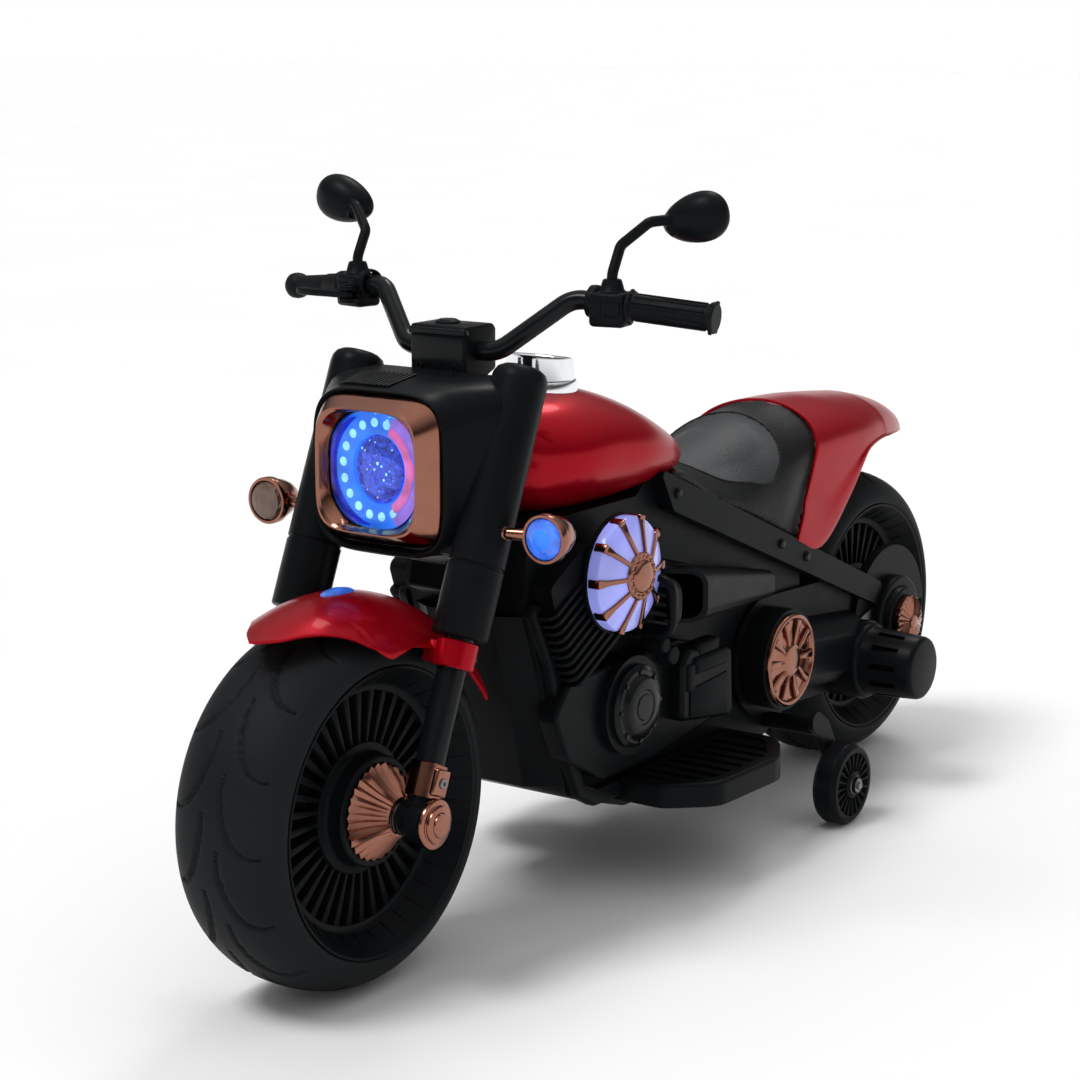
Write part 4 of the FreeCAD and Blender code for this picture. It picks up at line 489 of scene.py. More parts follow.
class BIKE_OT_finishes(bpy.types.Operator):
    """Makes the finishes and gives one to each node of the frame"""
    bl_idname = "bike.finishes"
    bl_label = "Finishes"

    def execute(self, context):
        c = context.scene.bike_colours
        worn = {name: node.material_slots[0].material for name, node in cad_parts.items()}
        slots = {name: material.name.split(".")[0] for name, material in worn.items()}
        for material in dict.fromkeys(worn.values()):
            material.name = "packed_" + material.name
        finish("candy_red", c.candy_red, 0.28, metal=0.50, specular=0.04, coat=0.14,
               patch=(5.0, 0.05, 0.01))
        finish("satin_black", c.plastic, 0.36, specular=0.06, grain=(900.0, 0.10, 0.0004),
               patch=(14.0, 0.18, 0.06))
        finish("rose_copper", c.copper, 0.16, metal=1.0, patch=(60.0, 0.06, 0.05))
        finish("bright_chrome", c.chrome, 0.08, metal=1.0, patch=(80.0, 0.04, 0.03))
        finish("engine_grey", c.engine, 0.42, specular=0.04, grain=(700.0, 0.14, 0.0005),
               patch=(18.0, 0.20, 0.07))
        finish("frame_steel", (0.20, 0.20, 0.21), 0.34, metal=1.0, patch=(90.0, 0.10, 0.06))
        finish("black_steel", c.plastic, 0.20, specular=0.14, patch=(22.0, 0.15, 0.05))
        finish("seat_cover", c.leather, 0.44, specular=0.12, cells=(420.0, 0.35, 0.0006),
               patch=(10.0, 0.20, 0.06))
        finish("seat_panel", c.pad, 0.52, specular=0.24, cells=(420.0, 0.40, 0.0006),
               patch=(12.0, 0.22, 0.05))
        finish("tyre_plastic", c.tyre, 0.56, specular=0.09, grain=(500.0, 0.12, 0.0005),
               patch=(9.0, 0.26, 0.07))
        finish("grip_rubber", c.plastic, 0.52, specular=0.10, grain=(800.0, 0.16, 0.0004),
               patch=(30.0, 0.2, 0.05))
        # The reflector bowl's faint blue glow is painted light: it stands in for the lit ring's
        # light falling on the bowl.
        finish("reflector", (0.02, 0.06, 0.42), 0.14, metal=0.85, patch=(70.0, 0.35, 0.04),
               glow=((0.0, 0.05, 0.75), 0.25, 60.0, 0.6))
        finish("lit_ring", (0.02, 0.10, 0.5), 0.30, patch=(60.0, 0.1, 0.02),
               glow=(c.ring_blue, 0.95, 55.0, 0.45))
        # The gem's blue glow is the lit centre of the lamp; its strong speckle is painted sparkle,
        # standing in for highlights on the facets.
        finish("lit_gem", (0.03, 0.06, 0.50), 0.12, metal=0.6, coat=0.5, patch=(300.0, 0.5, 0.04),
               glow=((0.05, 0.12, 1.0), 0.55, 330.0, 0.9))
        # lit_dot lights the lamp's LED dots, and also the painted glints on the gem.
        finish("lit_dot", (0.3, 0.6, 0.8), 0.20, patch=(60.0, 0.1, 0.02),
               glow=((0.30, 0.78, 1.0), 1.0, 130.0, 0.5))
        finish("lit_pink", (0.5, 0.1, 0.3), 0.25, patch=(60.0, 0.1, 0.02),
               glow=(c.ring_pink, 0.62, 70.0, 0.6))
        finish("lit_violet", (0.3, 0.15, 0.5), 0.25, patch=(60.0, 0.1, 0.02),
               glow=((0.34, 0.20, 1.0), 0.55, 70.0, 0.5))
        finish("lit_panel", (0.25, 0.27, 0.6), 0.22, coat=0.6, patch=(40.0, 0.1, 0.03),
               glow=(c.panel_blue, 0.60, 30.0, 0.45))
        finish("clear_lens", (0.95, 0.97, 1.0), 0.03, patch=(30.0, 0.02, 0.01),
               Transmission_Weight=1.0, IOR=1.22)
        # blue_lens glows; on the near signal glass the glow is painted light, and it also gives the
        # fender lamp's dome its glow. The next finish is a brown that paints the copper reflected
        # in the far signal glass.
        finish("blue_lens", (0.05, 0.20, 0.90), 0.10, coat=0.7, patch=(90.0, 0.3, 0.03),
               Transmission_Weight=0.25, glow=((0.03, 0.20, 1.0), 0.34, 90.0, 0.6))
        finish("painted_copper_reflection_lens", (0.12, 0.07, 0.05), 0.10, metal=0.5, coat=0.7, patch=(90.0, 0.3, 0.03))
        finish("mirror_glass", (0.82, 0.84, 0.86), 0.03, metal=1.0, patch=(20.0, 0.02, 0.01))
        finish("button_red", (0.45, 0.01, 0.01), 0.35, patch=(40.0, 0.15, 0.05))
        finish("dark_gap", (0.003, 0.003, 0.003), 0.7, specular=0.15, patch=(20.0, 0.2, 0.05))
        for name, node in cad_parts.items():
            look = "black_steel" if name == "body_screws" else slots[name]
            for place in node.material_slots:
                place.material = bpy.data.materials[look]
            node.data.shade_smooth()
            weld = node.modifiers.new("weld", 'WELD')
            weld.merge_threshold = 1e-5
            split = node.modifiers.new("split", 'EDGE_SPLIT')
            split.split_angle = math.radians(32)
        return {'FINISHED'}


# Wheels


def wheel_ends(s):
    """Name and place of the two big wheels."""
    return ("front", s.front_x), ("rear", s.rear_x)


class BIKE_OT_tyres(bpy.types.Operator):
    """Tyres with hooked grooves round the tread"""
    bl_idname = "bike.tyres"
    bl_label = "Tyres"

    def execute(self, context):
        s = sizes_of(context)
        half, lip, crown = s.tyre_half, s.lip_radius, s.wheel_radius - s.lip_radius
        profile = [(lip - 7, -half + 10), (lip - 2.6, -half + 3)]
        for i in range(65):
            h = half * math.sin(math.radians(-90 + 180 * i / 64))
            profile.append((lip + crown * (1 - abs(h / half) ** 2.3) ** 0.5, h))
        profile += [(r, -h) for r, h in reversed(profile[:2])]
        for end, x in wheel_ends(s):
            bm = bmesh.new()
            lathe(bm, profile, Matrix(), steps=600)
            bmesh.ops.recalc_face_normals(bm, faces=bm.faces[:])
            bm.normal_update()
            self.groove(bm, s)
            bmesh.ops.transform(bm, matrix=facing_left(x, 0, s.axle), verts=bm.verts[:])
            piece(end + "_tyre_tread", bm, "tyre_plastic", end + "_wheel", (end + "_tyre",),
                  crease=60)
        return {'FINISHED'}

    def groove(self, bm, s):
        """Sinks the points that lie on a hooked line."""
        pitch = ROUND * s.wheel_radius / HOOKS
        long, start, deep = 66, 7, 31
        inner, outer = 4, 44
        turn = np.radians(np.linspace(0, 108, 40))
        line = np.stack([long * np.sin(turn), start + deep * (1 - np.cos(turn))], axis=1)
        wide = 0.9 + 1.5 * np.sin(np.linspace(0.1, 1.0, 40) * math.pi) ** 0.7
        for v in bm.verts:
            h = v.co.z / MM
            if abs(h) > outer or abs(h) < inner:
                continue
            run = math.atan2(v.co.y, v.co.x) * s.wheel_radius + (pitch / 2 if h < 0 else 0)
            near = np.array([run % pitch, abs(h)])
            best = 0.0
            for step in (0.0, pitch):
                gap = np.hypot(*(line - near - (step, 0)).T) / wide
                best = max(best, 1 - float(gap.min()) ** 2)
            if best > 0:
                v.co -= v.normal * s.groove_depth * MM * min(1.0, 1.5 * best)


class BIKE_OT_rims(bpy.types.Operator):
    """Dished rims with a fan of vanes"""
    bl_idname = "bike.rims"
    bl_label = "Rims"

    def execute(self, context):
        s = sizes_of(context)
        lip, half = s.lip_radius, s.tyre_half
        for end, x in wheel_ends(s):
            bm = bmesh.new()
            lathe(bm, [(lip - 8, 0), (lip - 8, half - 11), (lip - 2.2, half - 2),
                       (lip - 2.8, half - 0.6), (lip - 4.5, half - 0.6), (lip - 6, half - 2.2),
                       (101.5, 31), (100, 29), (97, 28), (95, 27.6), (94.4, 26.6), (94.4, 16),
                       (53.6, 16), (53.6, 27), (52.8, 28), (48, 28.4), (46.2, 29.4), (45, 31),
                       (45, 42.4), (43.6, 44), (39.4, 44), (38.4, 43), (38, 30), (7, 30)], Matrix(),
                  steps=144)
            marked = set(bm.verts)
            vane = slab(bm, [(52, -1.5), (96, -3.7), (96, 3.7), (52, 1.5)], 11.6, shift(0, 0, 15.6),
                        0.8, 2)
            for v in vane:
                v.co.z -= 0.00006 * ((math.hypot(v.co.x, v.co.y) / MM - 74) / 10) ** 2
            repeat(bm, marked, VANES)
            marked = set(bm.verts)
            block(bm, (0, -0.5, -0.5), (26, 0.5, 0.5), 0.2, 1,
                  shift(101, 0, 31) @ Matrix.Rotation(-math.atan2(20, 13.5), 4, 'Y'))
            repeat(bm, marked, VANES)
            bmesh.ops.transform(bm, matrix=facing_left(x, 0, 0), verts=bm.verts[:])
            on_axles(bm, s)
            piece(end + "_rim_vanes", bm, "satin_black", end + "_wheel", (end + "_rim",))
        return {'FINISHED'}


def fluted(bm, place, rows, count):
    """Pleated cone: rows of (radius, height, pleat depth, pleat drop) with sharp folds."""
    rings = []
    for radius, height, deep, drop in rows:
        edges = ring(bm, Matrix(), radius, radius, count=count * 4)
        verts = verts_of(edges)
        for v in verts:
            turn = math.atan2(v.co.y, v.co.x) * count / ROUND
            fold = abs((turn % 1.0) - 0.5) * 2
            factor = 1 - deep * fold / radius
            v.co.x *= factor
            v.co.y *= factor
            v.co.z = (height - drop * fold) * MM
        bmesh.ops.transform(bm, matrix=place, verts=verts)
        rings.append(edges)
    loft(bm, rings)


class BIKE_OT_hubs(bpy.types.Operator):
    """Pleated copper hub cones and axle caps"""
    bl_idname = "bike.hubs"
    bl_label = "Hub cones and caps"

    def execute(self, context):
        s = sizes_of(context)
        bm = bmesh.new()
        fluted(bm, facing_left(s.front_x, 0, 0), [(36, 43.8, 0.5, 0), (39.4, 44.2, 2.2, 0),
                                                  (40, 45.2, 2.6, 0), (39.4, 46.6, 2.8, 0.6),
                                                  (34, 50.5, 2.6, 1), (25, 58, 2.0, 1),
                                                  (18.2, 65.6, 1.2, 0.6), (16.4, 67.6, 0.8, 0.2),
                                                  (15, 68, 0.4, 0)], 30)
        on_axles(bm, s)
        piece("hub_cones", bm, "rose_copper", "front_wheel", ("front_hub_cones",), crease=24)
        bm = bmesh.new()
        fluted(bm, facing_left(s.rear_x, 0, 0), [(20, 90, 0.2, 0), (26.4, 90.2, 0.6, 0),
                                                 (27, 91, 0.8, 0), (27, 95.6, 0.8, 0),
                                                 (26.2, 97.2, 0.6, 0.8), (24, 98.2, 0.4, 1.6),
                                                 (16, 99.4, 0.2, 1.6), (8.6, 100.2, 0, 1.0),
                                                 (6.4, 100.4, 0, 0)], 24)
        lathe(bm, [(7, 99.4), (7, 101), (6.2, 102), (4, 102.6), (0, 102.8)],
              facing_left(s.rear_x, 0, 0), 32)
        on_axles(bm, s)
        piece("rear_caps", bm, "rose_copper", "chassis", ("rear_axle_caps",), crease=24)
        return {'FINISHED'}


# Fork


class BIKE_OT_fork(bpy.types.Operator):
    """Fork legs, axle clamps and end caps"""
    bl_idname = "bike.fork"
    bl_label = "Fork"

    def execute(self, context):
        s = sizes_of(context)
        leg = in_fork(s) @ shift(0, s.fork_spread, 0)
        end = facing_left(s.front_x, 0, s.axle)
        bm = bmesh.new()
        r = s.sleeve_radius
        lathe(bm, [(0, 147), (r - 2.2, 147), (r - 0.4, 148.2), (r, 150), (r, 203.4), (r - 1, 204.2),
                   (r - 1, 205.8), (r, 206.6), (r, 357), (r - 0.7, 362), (r - 3, 366.4),
                   (r - 7.4, 369.2), (r - 12, 370), (0, 370)], leg, 64)
        mirrored(bm)
        piece("fork_sleeves", bm, "satin_black", "steering", ("fork_upper_tubes",))
        bm = bmesh.new()
        lathe(bm, [(0, 10), (12, 10), (12, 150), (0, 150)], leg, 48)
        lathe(bm, [(6.1, 70.6), (13.4, 70.6), (14.4, 71.4), (14.4, 73.4), (13.2, 74.2),
                   (13.2, 75.4), (14.4, 76.2), (14.4, 78.4), (13.2, 79.2), (13.2, 80.4), (15, 81.4),
                   (17, 83), (17, 97), (16, 98), (6.1, 98)], end, 48)
        mirrored(bm)
        piece("fork_legs", bm, "black_steel", "steering", ("fork_lower_tubes",))
        bm = bmesh.new()
        lathe(bm, [(12.1, 18), (14.2, 18), (15, 18.8), (15, 45.2), (14.2, 46), (12.1, 46)], leg, 48)
        block(bm, (-23, -5, 22), (-11, 5, 40), 1.6, 2, leg)
        block(bm, (-9, 10, 21), (9, 16.4, 43), 2.2, 3, leg)
        lathe(bm, [(0, 109), (8.6, 109), (9.6, 108.6), (10, 107.8), (10, 106.8), (10.6, 106.4),
                   (14, 106.2), (14.8, 105.8), (15, 105), (15, 103.6), (15.6, 103), (18.6, 102.8),
                   (19.7, 102.2), (20, 101.2), (20, 98.6), (19.4, 98), (0, 98)], end, 64)
        mirrored(bm)
        piece("fork_caps", bm, "rose_copper", "steering", ("fork_clamps",))
        bm = bmesh.new()
        screw = leg @ shift(0, 16.2, 32) @ Matrix.Rotation(-QUARTER, 4, 'X')
        lathe(bm, [(0, 0.8), (1.6, 0.8), (1.7, 1.8), (3.6, 1.8), (4.2, 1.2), (4.2, -1)], screw, 24)
        mirrored(bm)
        piece("clamp_screws", bm, "frame_steel", "steering")
        return {'FINISHED'}


# Headlight


class BIKE_OT_headlight(bpy.types.Operator):
    """Hooded headlight with its bezel, lit ring and lens"""
    bl_idname = "bike.headlight"
    bl_label = "Headlight"

    def execute(self, context):
        s = sizes_of(context)
        self.housing(s)
        self.bezel(s)
        self.lights(s)
        return {'FINISHED'}

    def housing(self, s):
        x, z, w, h = s.lamp_front - 14, s.lamp_middle, s.lamp_half_width, s.lamp_half_height
        bm = bmesh.new()
        rings = []
        for back, wide, low, high, power in ((9.0, w - 5.0, h - 6.4, h - 2.4, 4.4),
                                             (5.4, w - 4.4, h - 5.6, h - 2.0, 4.4),
                                             (3.2, w - 3.2, h - 4.2, h - 1.0, 4.4),
                                             (2.8, w - 1.6, h - 2.2, h + 0.4, 4.3),
                                             (4.2, w - 0.4, h - 0.6, h + 1.4, 4.2),
                                             (12, w, h, h + 2.6, 4.2),
                                             (22, w + 7, h - 0.2, h + 4.4, 4.5),
                                             (34, w + 15, h - 1, h + 6.4, 5.0),
                                             (48, w + 23, h - 3, h + 8.0, 5.6),
                                             (66, w + 29, h - 5, h + 8.6, 6.4),
                                             (86, w + 31, h - 7, h + 9, 7.2)):
            rings.append(ring(bm, across(x - back, z + (high - low) / 2), wide, (high + low) / 2,
                              power, 96))
        loft(bm, rings, (False, False))
        back = in_fork(s)
        cut = bmesh.ops.bisect_plane(bm, geom=bm.verts[:] + bm.edges[:] + bm.faces[:],
                                     plane_co=back @ Vector((0.002, 0, 0)),
                                     plane_no=back.to_3x3() @ Vector((1, 0, 0)), clear_inner=True)
        edges = [g for g in cut["geom_cut"] if isinstance(g, bmesh.types.BMEdge)]
        bmesh.ops.edgeloop_fill(bm, edges=edges)
        piece("lamp_hood", bm, "satin_black", "steering", ("headlight_housing",), crease=50,
              wall=2.0)
        bm = bmesh.new()
        for i in range(17):
            y = -60 + i * 4.0
            rise = h + 3.2 - 13 * abs(y / w) ** 5
            start = (x - 9 - 0.006 * (y + 14) ** 2, y * 0.94, z + rise + 0.3)
            stop = (x - 48, y * 1.14, z + rise + 5.4)
            tube(bm, [start, tuple((a + b) / 2 for a, b in zip(start, stop)), stop], 1.1, 2)
        piece("hood_ribs", bm, "satin_black", "steering")

    def bezel(self, s):
        x, z = s.lamp_front, s.lamp_middle + s.bezel_lift
        bm = bmesh.new()
        loft(bm, nested(bm, x, z, [(23, 63, 61.2, 5.2), (19.6, 62.6, 60.8, 5.2),
                                   (2.4, 52.4, 51.4, 5.0), (0.5, 51.0, 50.4, 4.8),
                                   (0.3, 49.8, 49.4, 4.4), (1.8, 48.6, 48.8, 3.8),
                                   (7, 46.6, 48.2, 2.9), (13, 45.2, 47.6, 2.4)], 80),
             (False, False))
        piece("lamp_bezel", bm, "rose_copper", "steering", ("headlight_bezel",), crease=16)

    def lights(self, s):
        x, z = s.lamp_front, s.lamp_middle + s.bezel_lift
        axis = facing_front(x, 0, z) @ Matrix.Diagonal((1.09, 1.0, 1.0, 1.0))
        bm = bmesh.new()
        loft(bm, nested(bm, x, z, [(12, 45.6, 48, 2.4), (14, 44.4, 47.4, 2.1), (20, 43.6, 47, 2.0),
                                   (22, 26, 30, 2.0), (23, 23, 27, 2.0)], 72), (False, True))
        piece("lamp_bowl", bm, "reflector", "steering", ("headlight_reflector",), crease=24)
        bm = bmesh.new()
        lathe(bm, [(25.4, -22), (26, -18.6), (28, -17.4), (39.4, -16.8), (42.2, -17.4),
                   (43.4, -20)], axis, 72)
        piece("lamp_ring", bm, "lit_ring", "steering", ("headlight_ring",))
        bm = bmesh.new()
        for i in range(12):
            turn = math.radians(64 + 222 * i / 11)
            spot = axis @ shift(35.0 * math.sin(turn), 35.0 * math.cos(turn), -17.0)
            ball(bm, spot, (3.6, 3.6, 1.6), 12, 6)
        piece("lamp_dots", bm, "lit_dot", "steering")
        arc = [(28, -18), (28.4, -16.2), (30, -15.4), (34, -15.4), (35.6, -16.2), (36, -18)]
        haze = [(36.2, -18), (36.6, -16.6), (38, -16), (40.6, -16), (42, -16.6), (42.4, -18)]
        for name, look, outline, start, turn in (("lamp_arc", "lit_pink", arc, 30, 126),
                                                 ("lamp_haze", "lit_violet", haze, 24, 134)):
            bm = bmesh.new()
            sector(bm, outline, axis, start, turn, 40)
            piece(name, bm, look, "steering")
        # The gem's speckled glow is partly painted sparkle.
        bm = bmesh.new()
        made = bmesh.ops.create_icosphere(bm, subdivisions=3, radius=1.0)["verts"]
        flat = Matrix.Diagonal((0.0265, 0.0245, 0.010, 1))
        bmesh.ops.transform(bm, matrix=axis @ shift(0, 0, -22) @ flat, verts=made)
        gem = piece("lamp_gem", bm, "lit_gem", "steering", crease=4)
        gem.data.shade_flat()
        # Small glowing balls on the gem are painted glints: white sparkles standing in for
        # highlights on its facets.
        bm = bmesh.new()
        draws = np.random.default_rng(7)
        for i in range(24):
            turn, far = ROUND * draws.random(), 22 * math.sqrt(draws.random())
            size = 0.3 + 1.2 * draws.random() ** 2
            lift = -22 + 10.2 * math.sqrt(1 - (far / 25) ** 2)
            ball(bm, axis @ shift(far * math.cos(turn), far * math.sin(turn), lift),
                 (size, size, 0.5), 8, 4)
        piece("gem_painted_glints", bm, "lit_dot", "steering")
        bm = bmesh.new()
        loft(bm, nested(bm, x, z, [(12.5, 45.0, 47.4, 2.4), (8.4, 41.6, 44.0, 2.4),
                                   (5.4, 33, 35.4, 2.4), (4.0, 20, 21.6, 2.4), (3.4, 7, 7.6, 2.4)],
                        72), (False, True))
        piece("lamp_lens", bm, "clear_lens", "steering", ("headlight_lens",), crease=60, wall=1.2)


# Handlebar


def bar_end(s):
    """Bend, end and direction of the handlebar's left end."""
    bend = Vector((s.front_x - 195, 97, s.axle + 392))
    end = Vector((s.front_x - 217, 216, s.axle + 382))
    return bend, end, (end - bend).normalized()


def switch_middle(s):
    """Middle of the left switch box, and the bar's direction there."""
    bend, _, run = bar_end(s)
    return bend + run * SWITCH_ALONG, run


def lever_pivot(s):
    """Pin of the brake lever, in front of the right switch box."""
    middle, _ = switch_middle(s)
    return Vector((middle.x + 22, -middle.y + 6, middle.z - 6))


class BIKE_OT_handlebar(bpy.types.Operator):
    """Handlebar, its cover, switch boxes, grips and lever"""
    bl_idname = "bike.handlebar"
    bl_label = "Handlebar"

    def execute(self, context):
        s = sizes_of(context)
        bend, end, _ = bar_end(s)
        clamp = Vector((s.front_x - 161, 46, s.axle + 348))
        bm = bmesh.new()
        tube(bm, cornered([end, bend, clamp, clamp * FLIP, bend * FLIP, end * FLIP], 22),
             s.bar_radius, 6)
        piece("bar_tube", bm, "black_steel", "steering", ("handlebar",), crease=60)
        self.cover(s)
        self.boxes(s)
        self.grips(s)
        self.lever(s)
        return {'FINISHED'}

    def cover(self, s):
        x, z = s.front_x - 141, s.axle + 369
        bm = bmesh.new()
        slab(bm, [(0, 0), (0, -46), (-7, -52), (-30, -44), (-44, -38), (-44, -4), (-40, 0)], 56,
             shift(x, 28, z) @ Matrix.Rotation(QUARTER, 4, 'X'), 2.4, 3)
        lathe(bm, [(0, 3.2), (7.2, 3.2), (8, 2.4), (9.6, 2), (10.4, 1.2), (10.4, -1)],
              shift(x - 20, -4, z), 32)
        piece("bar_box", bm, "satin_black", "steering", ("bar_cover",))
        bm = bmesh.new()
        slab(bm, [(-25, -43), (25, -43), (26.4, -9), (-26.4, -9)], 1.2, across(x - 0.4, z), 0.5, 2)
        block(bm, (x - 6, -28.4, z - 8), (x + 2.4, 28.4, z - 2), 1.6, 3)
        piece("front_plate", bm, "black_steel", "steering")
        bm = bmesh.new()
        for y in (-18, 18):
            lathe(bm, [(0, 0.6), (1.7, 0.6), (1.9, 1.8), (3.0, 1.8), (3.4, 1.2), (3.4, -1)],
                  facing_front(x + 0.2, y, s.axle + 335), 24)
        piece("plate_screws", bm, "dark_gap", "steering")

    def boxes(self, s):
        middle, run = switch_middle(s)
        turn = math.atan2(run.x, run.y)
        place = shift(*middle) @ Matrix.Rotation(-turn, 4, 'Z')
        bm = bmesh.new()
        block(bm, (-13, -16, -18), (13, 15, 10), 4.0, 3, place)
        block(bm, (-14, -14.6, -12), (14, -4, 6), 2.0, 2, place)
        block(bm, (4, -2, -9), (14.6, 12, 3), 1.6, 2, place)
        lathe(bm, [(11.4, -20), (13, -19), (13.6, -16), (13.6, -13), (12, -11)],
              pointing(middle, run), 40)
        lathe(bm, [(11.6, 8), (11.2, 10.6), (10, 11.6), (8.2, 18), (7.4, 19.8), (6.2, 20.2),
                   (4.6, 20.2), (4.6, 12)], shift(*middle), 40)
        mirrored(bm)
        pivot = lever_pivot(s)
        for low in (-7.4, 3.4):
            slab(bm, [(-12, -7), (3, -7), (6, -4), (6, 4), (3, 7), (-12, 7)], 4.0,
                 shift(*(pivot + Vector((0, 0, low)))), 0.8, 2)
        lathe(bm, [(0, 9), (3.2, 9), (3.8, 8.4), (3.8, 7.2)], shift(*pivot), 24)
        piece("bar_switches", bm, "satin_black", "steering", ("switch_boxes",))

    def grip_run(self, s, inner):
        """Start, length and direction of a grip whose inner end lies this far from the middle."""
        bend, end, run = bar_end(s)
        start = (inner / MM - bend.y) / run.y + 1.0
        return bend + run * start, (end - bend).length - start + 3, run

    def grips(self, s):
        start, long, run = self.grip_run(s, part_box("left_grip")[0].y)
        place = pointing(start, run)
        bm = bmesh.new()
        lathe(bm, [(8.1, 0), (12.4, 0), (13.5, 0.8), (13.5, 2.6), (12.8, 3.6), (11.2, 4), (10.6, 5),
                   (10.4, long - 7), (11, long - 4.4), (12.4, long - 4), (13, long - 3),
                   (12.6, long - 1), (11.4, long), (0, long)], place, 72)
        ribs = (((9.8, -1.1, 6), (11.5, 1.1, long - 8), 0.5, 12),
                ((11.6, -2.2, 0.6), (14.2, 2.2, 3.2), 0.7, 8),
                ((11.4, -1.8, long - 3.6), (14.4, 1.8, long - 0.8), 0.7, 6))
        for low, high, radius, count in ribs:
            marked = set(bm.verts)
            block(bm, low, high, radius, 2)
            repeat(bm, marked, count, place)
        piece("left_grip_ribs", bm, "grip_rubber", "steering", ("left_grip",))
        start, long, run = self.grip_run(s, -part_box("throttle_grip")[1].y)
        bm = bmesh.new()
        lathe(bm, [(8.1, 0), (11.4, 0), (12.2, 1), (12.2, 5.4), (11.4, 6.6), (10.2, 7.4), (10, 22),
                   (9.2, 23), (8.9, 24.4), (8.9, 26), (9.2, 27), (8.8, long - 18), (8.8, long - 16),
                   (9.6, long - 14.6), (10.9, long - 12), (11.4, long - 8), (11, long - 4),
                   (9.2, long - 1.2), (6, long), (0, long)], pointing(start * FLIP, run * FLIP), 56)
        piece("twist_grip", bm, "grip_rubber", "throttle_grip", ("throttle_grip",))

    def lever(self, s):
        pivot = lever_pivot(s)
        bm = bmesh.new()
        slab(bm, [(5, 4.6), (6, -6), (5.6, -20), (6.2, -34), (4.4, -48), (2.6, -54), (-1, -57.6),
                  (-4.6, -56), (-5.6, -50), (-4.2, -40), (-3.4, -28), (-4.4, -16), (-5.4, -6),
                  (-4.6, 4)], 6.0, shift(*(pivot - Vector((0, 0, 3)))), 1.8, 3)
        piece("brake_blade", bm, "satin_black", "brake_lever", ("brake_lever",))


class BIKE_OT_mirrors(bpy.types.Operator):
    """Mirror stalks, shells and glasses"""
    bl_idname = "bike.mirrors"
    bl_label = "Mirrors"

    def execute(self, context):
        s = sizes_of(context)
        base = switch_middle(s)[0] + Vector((0, 0, 10))
        head = base + Vector((-46, 50, 58))
        for side, body in ((1, "left_mirror"), (-1, "right_mirror")):
            flip = Vector((1, side, 1))
            path = [base, base + Vector((0, 0, 14)), base + Vector((-12, 0, 36)),
                    base + Vector((-24, 20, 55)), head + Vector((4, -8, 0))]
            bm = bmesh.new()
            tube(bm, [p * flip for p in cornered(path, 7)], 4.4, 5)
            lean = shift(*(head * flip)) @ Matrix.Rotation(math.radians(side * 14), 4, 'X')
            rings = []
            for share in (-0.215, -0.22, -0.12, 0.0, 0.16, 0.35, 0.52, 0.68, 0.82, 0.92, 0.98):
                size = math.sqrt(1 - share * share)
                inset = 2.6 if share == -0.215 else 0.0
                turn = lean @ across(share * 18, 0)
                edges = ring(bm, turn, 30 * size - inset, 20 * size - inset, 2.1, 64)
                self.egg(edges, turn, side)
                rings.append(edges)
            loft(bm, rings, (False, True))
            lathe(bm, [(4.4, 0), (6.4, 1), (7.4, 4), (6, 12), (4.4, 18)],
                  pointing(head * flip + Vector((4, -side * 6, -1)), (1, -side * 1.6, -1.4)), 32)
            piece(body + "_shell", bm, "satin_black", body, (body,), crease=50)
            bm = bmesh.new()
            rings = []
            for depth in (-3.9, -2.7):
                turn = lean @ across(depth, 0)
                edges = ring(bm, turn, 27.4, 17.5, 2.1, 64)
                self.egg(edges, turn, side)
                rings.append(edges)
            loft(bm, rings)
            piece(body + "_pane", bm, "mirror_glass", body, (body + "_glass",), crease=180)
        return {'FINISHED'}

    def egg(self, edges, place, side):
        """Narrows a loop towards the bike's middle."""
        back = place.inverted()
        for v in verts_of(edges):
            local = back @ v.co
            local.y *= 1 + 0.2 * side * local.x / 0.030
            v.co = place @ local


